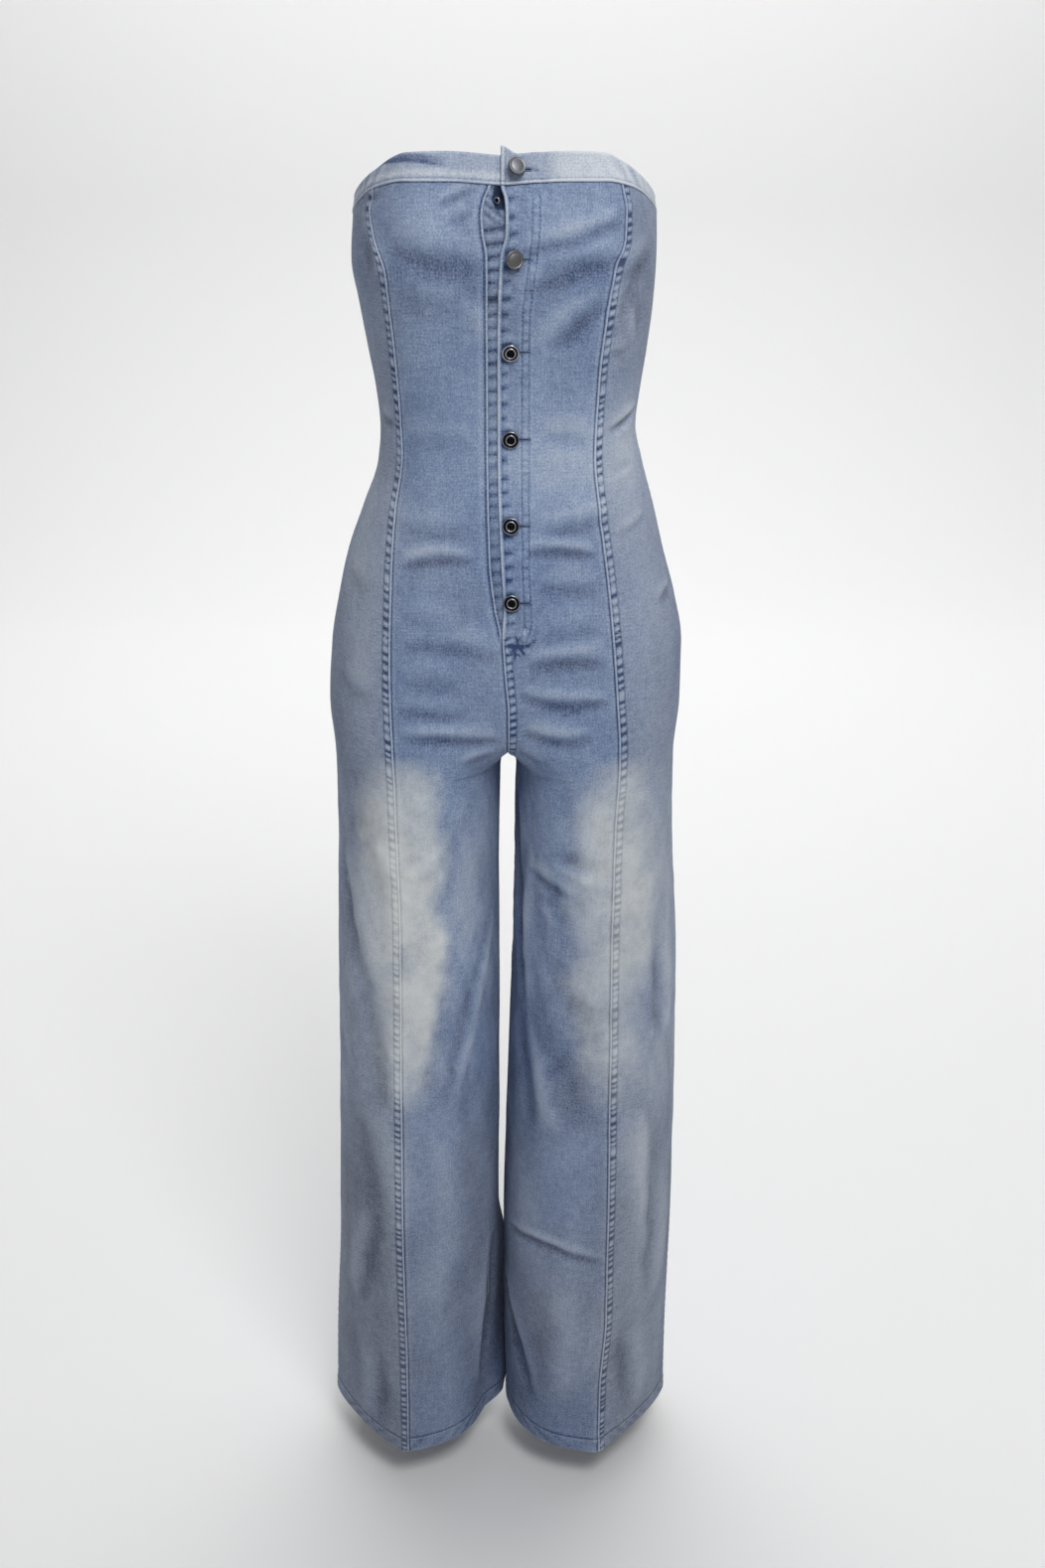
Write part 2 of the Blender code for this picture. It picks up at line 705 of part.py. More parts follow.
def main():
    for old in list(bpy.data.objects):
        bpy.data.objects.remove(old, do_unlink=True)
    rows = row_heights()
    places = [dict(zip(BUTTON_COLUMNS, row)) for row in BUTTONS]
    placket_top = WALL + SEAM_GAP
    band_seat = BAND_PROUD
    band_top = BAND_PROUD + BAND_WALL + SEAM_GAP
    panel("button_stand", -1, stand_strip, [row for row in rows if row >= STAND_FOOT])
    for stretch, part in stretches(rows):
        panel("front_side_right_" + stretch, -1, side_right, part)
        panel("front_centre_right_" + stretch, -1, centre_right, part)
        overlap_front = panel("front_centre_left_" + stretch, -1, centre_left, part, lift=placket_lift)
        panel("front_side_left_" + stretch, -1, side_left, part)
        panel("back_right_" + stretch, 1, rear_right, part)
        panel("back_left_" + stretch, 1, rear_left, part)
        holes = [place for place in places[1:] if part[-1] < place["z"] < part[0]]
        if holes:
            cutter = buttonhole_cutter(f"placket_{stretch}_cutter", holes, SEAM_GAP, placket_top)
            cut_holes(overlap_front, cutter)
    overlap_band = bands()
    for number, place in enumerate(places, start=1):
        on_band = number == 1
        seat = band_seat if on_band else 0.0
        top = band_top if on_band else placket_top
        finish = SILVER if number <= 2 else GUNMETAL
        shank_button(f"button_{number}", place, seat, top, finish)
    cut_holes(overlap_band, buttonhole_cutter("band_cutter", places[:1], band_seat, band_top))
    fly_stud()


main()
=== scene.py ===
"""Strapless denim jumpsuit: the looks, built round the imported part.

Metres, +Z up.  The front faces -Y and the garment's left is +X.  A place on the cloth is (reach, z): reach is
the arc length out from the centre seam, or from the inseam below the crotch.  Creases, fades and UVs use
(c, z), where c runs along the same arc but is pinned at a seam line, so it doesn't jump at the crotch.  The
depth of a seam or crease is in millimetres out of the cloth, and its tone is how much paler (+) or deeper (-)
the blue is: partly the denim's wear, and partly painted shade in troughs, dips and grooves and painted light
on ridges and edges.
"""
import math

import bmesh
import bpy
import numpy as np
from mathutils import Matrix, Vector


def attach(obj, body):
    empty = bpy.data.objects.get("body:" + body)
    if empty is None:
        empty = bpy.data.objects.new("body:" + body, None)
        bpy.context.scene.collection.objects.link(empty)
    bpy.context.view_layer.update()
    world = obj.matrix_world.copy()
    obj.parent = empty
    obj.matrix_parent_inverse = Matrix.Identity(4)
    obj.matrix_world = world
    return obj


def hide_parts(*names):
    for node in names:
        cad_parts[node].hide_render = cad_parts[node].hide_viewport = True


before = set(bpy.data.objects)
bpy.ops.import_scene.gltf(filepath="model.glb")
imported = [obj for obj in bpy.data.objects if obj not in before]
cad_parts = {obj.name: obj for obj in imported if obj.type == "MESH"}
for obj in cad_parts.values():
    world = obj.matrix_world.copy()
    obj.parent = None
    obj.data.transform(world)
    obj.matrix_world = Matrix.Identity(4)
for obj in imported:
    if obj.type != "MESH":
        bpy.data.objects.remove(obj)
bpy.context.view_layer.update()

MM = 0.001
FRONT, BACK = -1, 1
RIGHT, LEFT = -1, 1
HANDS = {RIGHT: "right", LEFT: "left"}

# Cloth and seams
WALL = 1.5 * MM
BAND_WALL = 2.2 * MM
BAND_PROUD = 0.5 * MM
LAP_GAP = 0.3 * MM
PLACKET_LIFT = 1.8
GAP = 0.12 * MM

# The fork between the legs
CROTCH = -0.512
HEM = -1.312
FORK_HEIGHT = 0.06
FORK_REACH = {FRONT: -0.17, BACK: -0.12}
FORK_POWER = 1.5
FLAT_REACH = -0.40
FORK_ROUND = 0.0065

# The worn form, with the same columns and numbers as the part.
SECTION_COLUMNS = (
    "z", "cut", "right", "left", "front", "back", "crown_right", "crown_left",
    "outer", "inner_right", "inner_left", "parting",
)
SECTIONS = (
    (0.030, 0.000, 0.1240, 0.1205, 0.107, 0.093, 0.058, 0.058, 2.2, 2.2, 2.2, 0.0065),
    (0.000, 0.000, 0.1285, 0.1250, 0.114, 0.097, 0.060, 0.060, 2.2, 2.2, 2.2, 0.0065),
    (-0.030, 0.000, 0.1330, 0.1290, 0.119, 0.100, 0.062, 0.062, 2.2, 2.2, 2.2, 0.0065),
    (-0.062, 0.000, 0.1352, 0.1300, 0.120, 0.100, 0.063, 0.063, 2.2, 2.2, 2.2, 0.0065),
    (-0.092, 0.000, 0.1305, 0.1287, 0.116, 0.096, 0.060, 0.060, 2.2, 2.2, 2.2, 0.0065),
    (-0.131, 0.000, 0.1245, 0.1248, 0.106, 0.087, 0.054, 0.054, 2.2, 2.2, 2.2, 0.0065),
    (-0.170, 0.000, 0.1180, 0.1197, 0.0965, 0.077, 0.048, 0.048, 2.2, 2.2, 2.2, 0.0065),
    (-0.205, 0.000, 0.1150, 0.1160, 0.0910, 0.072, 0.045, 0.045, 2.2, 2.2, 2.2, 0.0065),
    (-0.237, 0.000, 0.1183, 0.1225, 0.0908, 0.074, 0.046, 0.046, 2.2, 2.2, 2.2, 0.0065),
    (-0.278, 0.000, 0.1330, 0.1340, 0.0965, 0.085, 0.052, 0.052, 2.2, 2.2, 2.2, 0.0065),
    (-0.320, 0.000, 0.1487, 0.1445, 0.104, 0.098, 0.060, 0.060, 2.2, 2.2, 2.2, 0.0065),
    (-0.363, 0.000, 0.1593, 0.1565, 0.110, 0.110, 0.067, 0.067, 2.2, 2.2, 2.2, 0.0065),
    (-0.407, 0.000, 0.1675, 0.1645, 0.115, 0.118, 0.073, 0.073, 2.2, 2.2, 2.2, 0.0065),
    (-0.460, 0.000, 0.1715, 0.1645, 0.118, 0.120, 0.079, 0.079, 2.2, 2.2, 2.2, 0.0065),
    (-0.512, 0.000, 0.1675, 0.1600, 0.119, 0.116, 0.083, 0.083, 2.2, 2.2, 2.2, 0.0065),
    (-0.560, -0.001, 0.1665, 0.1612, 0.119, 0.111, 0.086, 0.086, 2.2, 2.2, 2.2, 0.0065),
    (-0.700, -0.003, 0.1707, 0.1712, 0.117, 0.103, 0.089, 0.088, 2.2, 2.2, 2.2, 0.0060),
    (-0.900, -0.007, 0.1734, 0.1804, 0.112, 0.097, 0.095, 0.091, 2.1, 2.1, 2.2, 0.0048),
    (-1.060, -0.010, 0.1765, 0.1862, 0.108, 0.092, 0.101, 0.094, 1.8, 2.0, 2.2, 0.0030),
    (-1.200, -0.009, 0.1865, 0.1840, 0.104, 0.088, 0.107, 0.098, 1.5, 1.8, 2.2, 0.0026),
    (-1.312, -0.007, 0.1938, 0.1830, 0.101, 0.085, 0.112, 0.102, 1.2, 1.7, 2.2, 0.0024),
)
BACK_POWER = 2.2
PRINCESS_COLUMNS = ("z", "right", "left")
PRINCESS = (
    (0.030, 0.1035, 0.0870), (0.000, 0.1075, 0.0935), (-0.020, 0.1110, 0.0973), (-0.040, 0.1073, 0.0966),
    (-0.066, 0.0988, 0.0884), (-0.090, 0.0966, 0.0838), (-0.150, 0.0928, 0.0778), (-0.220, 0.0912, 0.0754),
    (-0.270, 0.0980, 0.0804), (-0.330, 0.1020, 0.0884), (-0.430, 0.1046, 0.0976), (-0.490, 0.1034, 0.1012),
    (-0.560, 0.1014, 0.0996), (-0.650, 0.0990, 0.1002), (-0.850, 0.0996, 0.1054), (-1.060, 0.0994, 0.1110),
    (-1.130, 0.0998, 0.1108), (-1.220, 0.1012, 0.1046), (-1.312, 0.1046, 0.1028),
)
OPENING_COLUMNS = ("z", "edge", "join")
OPENING = (
    (0.030, -0.0035, -0.0100), (0.000, -0.0040, -0.0120), (-0.010, -0.0012, -0.0162),
    (-0.022, -0.0003, -0.0184), (-0.036, -0.0006, -0.0176), (-0.055, -0.0050, -0.0147),
    (-0.130, -0.0078, -0.0152), (-0.230, -0.0083, -0.0158), (-0.310, -0.0058, -0.0142),
    (-0.352, -0.0036, -0.0094), (-0.375, -0.0048, -0.0048), (-0.395, -0.0038, -0.0038),
    (-0.420, -0.0020, -0.0020), (-0.445, 0.0, 0.0), (-1.312, 0.0, 0.0),
)
STAND_INNER_END = 0.020
STAND_FOOT = -0.375
PLACKET_FLAT = 0.0215
PLACKET_RAMP = 0.0320
PLACKET_FADE = 0.028
RIM_COLUMNS = ("place", "seam", "top")
RIM = (
    (0.00, 0.000, 0.0225), (0.25, 0.003, 0.0260), (0.40, 0.003, 0.0250), (0.50, 0.000, 0.0180),
    (0.60, -0.005, 0.0095), (0.70, -0.012, 0.0020), (0.85, -0.021, -0.0070), (1.00, -0.028, -0.0120),
    (1.30, -0.038, -0.0170), (2.00, -0.042, -0.0190),
)
RIM_FADE = 0.16
BAND_CORNER_RISE = 0.007
BAND_CORNER_LENGTH = 0.014
# Each button's z and x, and how far it leans to the left and upwards in degrees.
BUTTONS = (
    (0.0115, 0.0065, 23.0, 14.0), (-0.0560, 0.0050, 22.0, 4.0), (-0.1300, 0.0036, 0.0, 0.0),
    (-0.2050, 0.0034, 0.0, 0.0), (-0.2795, 0.0034, 0.0, 0.0), (-0.3455, 0.0040, 0.0, 0.0),
)
HOLE_END = 0.0195
STUD_PLACE = (-0.0066, -0.0107)
# Creases in millimetres of (c, z), for the face and the side that they lie on: start, middle, end, then how
# deep the trough is (a ridge is negative) and its half width.
CREASES = {
    FRONT: {
        "both": (
            (10, -52, 48, -43, 94, -26, 1.9, 5), (24, -62, 58, -61, 98, -60, 1.8, 7),
            (34, -130, 56, -112, 82, -92, 1.9, 7), (96, -108, 104, -92, 108, -74, 1.2, 5),
            (-36, -86, -22, -100, -12, -124, -1.0, 7),
        ),
        "right": (
            (-92, -48, -52, -58, -16, -62, 1.8, 9), (-126, -13, -112, -10, -98, -8, 1.2, 3.2),
            (-132, -40, -122, -52, -118, -70, 1.4, 6), (-128, -192, -116, -195, -104, -197, 1.6, 4),
            (-92, -214, -60, -210, -26, -214, 0.8, 7), (-96, -284, -60, -287, -26, -286, 0.8, 7),
            (-94, -316, -62, -310, -28, -312, 2.2, 4.5), (-92, -358, -60, -365, -36, -362, 1.0, 6.5),
            (-94, -388, -60, -384, -4, -396, 1.4, 7), (-92, -421, -65, -420, -40, -421, 0.9, 8),
            (-98, -443, -65, -448, -38, -446, 1.3, 6), (-96, -472, -60, -471, -6, -478, 2.8, 5),
            (-40, -500, -24, -494, -8, -493, 1.3, 4), (-168, -330, -150, -338, -128, -340, 1.0, 7),
            (-172, -420, -150, -432, -122, -436, 1.2, 8), (-192, -600, -160, -680, -134, -755, 3.6, 9),
            (-134, -750, -124, -805, -116, -866, 2.2, 8), (21, -665, -20, -770, -46, -868, -1.8, 6),
            (-62, -604, -78, -613, -94, -631, 1.6, 5), (-140, -575, -126, -605, -112, -640, 1.3, 8),
            (-92, -548, -76, -572, -66, -596, -1.0, 8), (-88, -680, -74, -700, -60, -708, 0.9, 9),
            (-127, -1000, -143, -1060, -160, -1130, 2.6, 9), (-150, -880, -136, -950, -130, -1020, 2.0, 12),
            (-60, -900, -50, -1000, -60, -1120, -1.6, 16), (-140, -1180, -136, -1230, -144, -1290, 1.8, 10),
            (22, -1066, 13, -1150, 2, -1262, 3.4, 7), (-99, -604, -80, -592, -60, -582, -1.8, 8),
            (-88, -84, -60, -96, -34, -98, 1.0, 9), (-44, -16, -30, -9, -17, -2, 1.5, 2.8),
            (-40, -30, -28, -24, -18, -20, 1.0, 3.0),
        ),
        "left": (
            (104, -74, 122, -64, 142, -54, 1.6, 7), (104, -88, 112, -105, 118, -125, -1.2, 5),
            (92, -201, 112, -196, 138, -187, 3.0, 3.4), (88, -134, 96, -133, 106, -134, 1.0, 3),
            (28, -203, 50, -206, 72, -211, 1.0, 6), (28, -287, 60, -281, 92, -275, 1.2, 6),
            (16, -302, 44, -302, 78, -306, 2.4, 4), (26, -334, 55, -335, 82, -333, 1.2, 6),
            (28, -378, 55, -374, 80, -370, 1.0, 8), (18, -405, 45, -401, 90, -399, 1.9, 6),
            (9, -430, 45, -439, 92, -437, 2.8, 5), (12, -463, 45, -473, 76, -467, 2.2, 5),
            (6, -487, 18, -494, 30, -499, 0.9, 4), (92, -243, 108, -240, 126, -236, -0.8, 3),
            (98, -290, 120, -285, 140, -279, 1.0, 3), (150, -356, 165, -352, 182, -350, 1.6, 4),
            (-44, -545, -24, -650, -4, -772, 3.2, 8), (-9, -768, 6, -835, 22, -905, 2.6, 9),
            (40, -601, 65, -606, 90, -615, -1.8, 6), (5, -619, 38, -625, 58, -637, 1.8, 5),
            (20, -646, 34, -652, 48, -664, -0.9, 6), (96, -590, 116, -612, 128, -640, 1.1, 8),
            (60, -735, 84, -752, 108, -756, 1.0, 9), (156, -655, 160, -725, 168, -800, 2.6, 8),
            (-20, -1050, 46, -1041, 108, -1055, 2.2, 4.5), (-50, -1120, -8, -1183, 26, -1258, 3.2, 7),
            (142, -870, 150, -959, 164, -1066, -2.6, 9), (128, -1160, 140, -1220, 150, -1290, 2.2, 10),
            (7, -590, 3, -645, -3, -722, -1.4, 6), (30, -800, 41, -853, 56, -900, -1.6, 11),
            (156, -950, 168, -1041, 170, -1135, 2.0, 9), (14, -84, 34, -74, 58, -71, 1.2, 5),
            (60, -1090, 66, -1160, 58, -1250, -1.4, 15),
        ),
    },
    BACK: {
        "both": (
            (-90, -124, -20, -134, 42, -126, 1.5, 7), (18, -148, 62, -142, 96, -152, 1.3, 6),
            (-94, -176, -28, -186, 30, -180, 2.0, 5), (-20, -196, 48, -202, 100, -192, 2.2, 5),
            (-100, -214, -40, -222, 24, -214, 2.2, 5), (6, -232, 54, -238, 88, -234, 1.4, 6),
            (-80, -250, -48, -254, -12, -250, 1.2, 6),
        ),
        "right": (
            (-98, -60, -66, -70, -30, -66, 1.2, 7), (-124, -296, -90, -304, -52, -298, 1.0, 7),
            (-112, -452, -66, -455, -18, -464, 1.5, 7), (-84, -497, -50, -496, -14, -503, 1.7, 6),
            (-86, -540, -60, -538, -30, -533, 1.0, 8), (-150, -560, -146, -660, -154, -780, 1.9, 13),
            (-26, -600, -40, -700, -34, -820, 2.2, 12), (-112, -706, -80, -720, -48, -712, 1.3, 8),
            (-96, -762, -74, -768, -56, -762, 0.9, 9), (-92, -830, -106, -980, -96, -1140, -1.9, 14),
            (-46, -900, -52, -1040, -62, -1200, 1.9, 13), (-146, -980, -138, -1100, -150, -1230, 1.9, 12),
        ),
        "left": (
            (24, -78, 64, -70, 102, -80, 1.2, 7), (60, -312, 92, -316, 126, -306, 1.1, 7),
            (24, -471, 70, -463, 120, -458, 1.6, 7), (12, -508, 48, -503, 92, -499, 1.5, 6),
            (36, -557, 70, -551, 102, -545, 1.0, 8), (154, -590, 146, -690, 158, -820, 2.0, 13),
            (30, -590, 44, -690, 36, -800, 2.2, 12), (48, -736, 84, -740, 112, -724, 1.3, 8),
            (90, -870, 102, -990, 96, -1150, -1.9, 14), (54, -880, 60, -1030, 52, -1180, 2.0, 13),
            (150, -930, 142, -1070, 154, -1210, 1.9, 12),
        ),
    },
}
CREASE_DEPTH = {RIGHT: 1.35, LEFT: 1.5}
# The washed-out patch down each leg's front: inner and outer edge in millimetres of c, and how strong it is.
FADE_COLUMNS = ("z", "right_inner", "right_outer", "left_inner", "left_outer", "strength")
FADES = (
    (-0.485, -72, -118, 88, 126, 0.0),
    (-0.500, -66, -128, 80, 131, 0.45),
    (-0.520, -63, -134, 73, 134, 0.75),
    (-0.555, -61, -140, 68, 137, 0.90),
    (-0.595, -58, -149, 66, 140, 1.0),
    (-0.630, -62, -142, 65, 143, 1.0),
    (-0.680, -62, -134, 69, 145, 1.0),
    (-0.735, -65, -126, 66, 131, 0.92),
    (-0.790, -70, -123, 77, 126, 0.85),
    (-0.835, -80, -116, 90, 116, 0.60),
    (-0.872, -95, -104, 98, 106, 0.0),
)
# How softly the patch begins and ends in millimetres, and how strong it gets.
FADE_EDGES = {RIGHT: (26.0, 64.0, 0.97), LEFT: (46.0, 52.0, 0.84)}
# Soft patches of deeper or paler blue on the front: middle (c, z) and half sizes in millimetres, and how much
# deeper the blue is.  Most are the denim's uneven wash; some are painted: shade under the right bust and down
# the right leg's inner fold near the hem, and light over the tops of both busts.
WASH_SHADE_AND_LIGHT_PATCHES = {
    "right": (
        (-150, -360, 40, 110, -0.38), (-30, -640, 40, 110, -0.55), (-172, -640, 26, 130, 0.1),
        (-60, -1000, 70, 110, -0.18), (-60, -16, 40, 16, -0.26), (-55, -66, 50, 18, 0.26),
        (-150, -1060, 40, 180, 0.2), (36, -1170, 15, 110, 0.9), (-45, -490, 40, 26, -0.12),
    ),
    "left": (
        (128, -60, 34, 60, 0.12), (118, -225, 26, 55, -0.68), (140, -350, 40, 90, -0.38),
        (55, -14, 50, 22, -0.36), (165, -640, 30, 130, -0.32), (42, -800, 40, 75, 0.55),
        (50, -1010, 60, 90, -0.2), (146, -950, 22, 110, -0.45), (20, -1240, 30, 70, 0.2),
        (55, -225, 45, 40, -0.4), (126, -66, 26, 22, 0.14), (150, -1080, 40, 170, -0.3),
    ),
}
# The fly's stitched strip, as its middle line in millimetres of (reach, z).
FLY = (
    (25.0, -4), (24.2, -40), (21.0, -66), (17.0, -95), (16.2, -130), (16.2, -200), (16.4, -320), (18.4, -352),
    (18.2, -366), (14.5, -377), (9.0, -383), (4.0, -386),
)
# The bunched pulls at the fly's foot: start and end in millimetres of (reach, z), strength, half width.
FOOT_PULLS = (
    (6.5, -383.5, 12.5, -384.5, 0.9, 2.1), (1.5, -383.0, 8.0, -384.0, 0.8, 1.2),
    (12.0, -384.5, 20.0, -382.5, 0.9, 1.2), (20.0, -382.5, 25.0, -377.5, 0.5, 1.0),
    (9.5, -382.0, 7.5, -374.5, 0.7, 1.1), (11.5, -385.5, 15.5, -391.5, 0.7, 1.2),
    (6.5, -385.5, 7.0, -397.0, 0.7, 1.1), (7.0, -390.0, 12.0, -393.0, 0.5, 1.0),
    (13.5, -372.5, 17.0, -370.5, -0.5, 3.0), (15.5, -388.0, 20.0, -388.5, -0.3, 1.6),
    (2.5, -377.0, 5.5, -379.5, -0.4, 2.0),
)
# The pressed fold under the right band's top edge, in millimetres of (c, z).
BAND_FOLD = (
    (-116, 9.5), (-106, 13.0), (-92, 16.8), (-76, 18.4), (-60, 18.0), (-46, 15.4), (-34, 13.0),
)

# The grid
HOLE_HALF = 0.45 * MM
HOLE_START = -0.003
RIM_PASSES = 5
ROW_STEP = 0.00165
# Heights from the crotch of the rows that round it, in the place of the even ones.
CROTCH_ROWS = (0.0003, -0.0001, -0.0004, -0.0010, -0.0019, -0.0031, -0.0046)
EDGE_STEPS = np.array((0.0, 0.35, 0.9, 1.6, 2.4, 3.3, 4.3, 5.4, 6.5, 7.5, 8.4, 9.4, 10.6)) * MM
PLACKET_STEPS = np.concatenate(((0.0, 0.35, 0.9, 1.6, 2.4, 3.2, 4.1, 5.0), 6.1 + 1.15 * np.arange(24))) * MM
BAND_HEIGHTS = np.array((
    0.0, 0.02, 0.05, 0.09, 0.13, 0.18, 0.24, 0.31, 0.39, 0.44, 0.485, 0.525, 0.58, 0.65, 0.73, 0.81, 0.88,
    0.93, 0.97, 0.99, 1.0,
))
SLIT_ROW = 10


def column(table, names, name, at):
    """A smooth curve through a table's column that doesn't overshoot its rows."""
    rows = sorted(table)
    places = np.array([row[0] for row in rows])
    values = np.array([row[names.index(name)] for row in rows])
    at = np.clip(np.asarray(at, float), places[0], places[-1])
    gaps = np.diff(places)
    slopes = np.diff(values) / gaps
    tangents = np.zeros(len(rows))
    for i in range(1, len(rows) - 1):
        if slopes[i - 1] * slopes[i] > 0:
            near = 2 * gaps[i] + gaps[i - 1]
            far = gaps[i] + 2 * gaps[i - 1]
            tangents[i] = (near + far) / (near / slopes[i - 1] + far / slopes[i])
    tangents[0] = slopes[0]
    tangents[-1] = slopes[-1]
    i = np.minimum(np.searchsorted(places, at, side="right") - 1, len(gaps) - 1)
    t = (at - places[i]) / gaps[i]
    return (
        (1 + 2 * t) * (1 - t) ** 2 * values[i] + t * (1 - t) ** 2 * gaps[i] * tangents[i]
        + t * t * (3 - 2 * t) * values[i + 1] + t * t * (t - 1) * gaps[i] * tangents[i + 1]
    )


def smooth(value):
    value = np.clip(value, 0.0, 1.0)
    return value * value * (3 - 2 * value)


def bump(value):
    return np.exp(-value * value)


def bumps(e, *rows):
    """The sum of bumps, each a row of height, middle and half width."""
    return sum(high * bump((e - middle) / wide) for high, middle, wide in rows)


def nearest(values, wanted):
    return int(np.argmin(np.abs(values - wanted)))


def run_along(points):
    """Length along a line of points."""
    steps = np.linalg.norm(np.diff(points, axis=0), axis=1)
    return np.concatenate(([0], np.cumsum(steps)))


# ---------------------------------------------------------------- the form

Z_GRID = np.concatenate((
    np.arange(HEM - 0.006, -0.535, 0.001), np.arange(-0.535, -0.440, 0.00025), np.arange(-0.440, 0.046, 0.001),
))
SHARES = np.linspace(0.0, 1.0, 361)
SECTION_AT = {name: column(SECTIONS, SECTION_COLUMNS, name, Z_GRID) for name in SECTION_COLUMNS[1:]}
RING = {}
PINS = {}


def ring(row, side, face, steps=90):
    """A quarter of the form at a row of Z_GRID: how far out its points lie, their y and the arc up to them."""
    hand = HANDS[side]
    width = SECTION_AT[hand][row]
    crown = SECTION_AT["crown_" + hand][row]
    outer = SECTION_AT["outer"][row] if face == FRONT else BACK_POWER
    inner = SECTION_AT["inner_" + hand][row] if face == FRONT else BACK_POWER
    depth = SECTION_AT["front" if face == FRONT else "back"][row]
    height = Z_GRID[row]
    if height > CROTCH:
        reach = max(FORK_REACH[face] * ((height - CROTCH) / FORK_HEIGHT) ** FORK_POWER, FLAT_REACH)
    elif CROTCH - height < FORK_ROUND:
        reach = math.sqrt(max(FORK_ROUND ** 2 - (FORK_ROUND - CROTCH + height) ** 2, 0.0))
    else:
        reach = SECTION_AT["parting"][row]
    start = 0.5 * math.pi
    if reach < 0:
        start = math.asin((crown / (crown - reach)) ** (inner / 2))
    inward = np.linspace(start, 0.0, steps)
    outward = np.linspace(0.0, 0.5 * math.pi, steps)[1:]
    out = np.concatenate((
        crown - (crown - reach) * np.sin(inward) ** (2 / inner),
        crown + (width - crown) * np.sin(outward) ** (2 / outer),
    ))
    y = face * depth * np.concatenate((
        np.clip(np.cos(inward), 0, 1) ** (2 / inner), np.clip(np.cos(outward), 0, 1) ** (2 / outer),
    ))
    arc = np.concatenate(([0.0], np.cumsum(np.hypot(np.diff(out), np.diff(y)))))
    return out, y, arc


def fill_rings(face, side):
    """Samples a face and side of the form: points at even shares of each arc, its length and pinned place."""
    outs, ys, lengths, pins = [], [], [], []
    hand = HANDS[side]
    pin_place = column(PRINCESS, PRINCESS_COLUMNS, hand, Z_GRID) if face == FRONT else 0.5 * SECTION_AT[hand]
    for row in range(len(Z_GRID)):
        out, y, arc = ring(row, side, face)
        lengths.append(arc[-1])
        outs.append(np.interp(SHARES * arc[-1], arc, out))
        ys.append(np.interp(SHARES * arc[-1], arc, y))
        pins.append(np.interp(pin_place[row], out, arc))
    RING[face, side] = (np.array(outs), np.array(ys), np.array(lengths))
    PINS[face, side] = (pin_place, np.array(pins))


for face in (FRONT, BACK):
    for side in (RIGHT, LEFT):
        fill_rings(face, side)


def length(face, side, z):
    return np.interp(z, Z_GRID, RING[face, side][2])


def pin_length(face, side, z):
    return np.interp(z, Z_GRID, PINS[face, side][1])


def crease_place(face, side, reach, z):
    """c at a reach: the pinned line's own distance out, plus the arc beyond it, signed by the side."""
    return side * (np.interp(z, Z_GRID, PINS[face, side][0]) + reach - pin_length(face, side, z))


def look(face, side, reach, z):
    """The form's point at a reach that lies on this face and side."""
    outs, ys, lengths = RING[face, side]
    row = np.clip(np.searchsorted(Z_GRID, z) - 1, 0, len(Z_GRID) - 2)
    t = np.clip((z - Z_GRID[row]) / (Z_GRID[row + 1] - Z_GRID[row]), 0, 1)
    total = lengths[row] * (1 - t) + lengths[row + 1] * t
    share = np.clip(reach / total, 0, 1) * (len(SHARES) - 1)
    k = np.minimum(share.astype(int), len(SHARES) - 2)
    f = share - k

    def pick(table):
        return ((table[row, k] * (1 - f) + table[row, k + 1] * f) * (1 - t)
                + (table[row + 1, k] * (1 - f) + table[row + 1, k + 1] * f) * t)

    cut = np.interp(z, Z_GRID, SECTION_AT["cut"])
    return np.stack((cut + side * pick(outs), pick(ys), z + 0 * reach), axis=-1)


def spot(face, side, reach, z):
    """The form's point at a reach, carried on past the side seam, the centre seam or the inseam."""
    reach, z = np.broadcast_arrays(np.asarray(reach, float), np.asarray(z, float))
    found = look(face, side, np.maximum(reach, 0), z)
    total = length(face, side, z)
    past = reach > total
    if past.any():
        other = length(-face, side, z[past]) - (reach[past] - total[past])
        found[past] = look(-face, side, other, z[past])
    over = (reach < 0) & (z > CROTCH)
    if over.any():
        found[over] = look(face, -side, -reach[over], z[over])
    under = (reach < 0) & (z <= CROTCH)
    if under.any():
        found[under] = look(-face, side, -reach[under], z[under])
    return found


def normals(face, side, reach, z):
    """The direction out of the form."""
    step = 1.5 * MM
    across = (spot(face, side, reach + step, z) - spot(face, side, reach - step, z)) * side
    total = length(face, side, z)
    high = np.minimum(z + step, 0.045)
    low = np.maximum(z - step, HEM - 0.005)

    def shifted(height):
        moved = reach + length(face, side, height) - total
        return spot(face, side, np.where(reach >= 0, np.maximum(moved, 0), reach), height)

    up = shifted(high) - shifted(low)
    found = np.cross(across, up) if face == FRONT else np.cross(up, across)
    return found / np.linalg.norm(found, axis=-1, keepdims=True)


RIM_PLACES = np.linspace(0, 2, 401)
RIM_AT = {name: column(RIM, RIM_COLUMNS, name, RIM_PLACES) for name in RIM_COLUMNS[1:]}
OPEN_AT = {name: column(OPENING, OPENING_COLUMNS, name, Z_GRID) for name in OPENING_COLUMNS[1:]}


def rim_place(face, side, reach, z):
    share = np.abs(reach) / length(face, side, z)
    return share if face == FRONT else 2 - share


def rim_height(name, place):
    return np.interp(place, RIM_PLACES, RIM_AT[name])


def opening(name, z):
    return np.interp(z, Z_GRID, OPEN_AT[name])


# The reach of each kind of seam, from a face, a side and heights.
SEAMS = {
    "centre": lambda face, side, z: 0.0 * z,
    "princess": pin_length,
    "side": length,
    "edge": lambda face, side, z: opening("edge", z),
    "join": lambda face, side, z: side * opening("join", z),
    "stand_end": lambda face, side, z: STAND_INNER_END + 0 * z,
}


# ---------------------------------------------------------------- noise

CELLS = 64
LATTICES = [np.random.RandomState(seed).uniform(-1, 1, (CELLS, CELLS)) for seed in range(11, 19)]


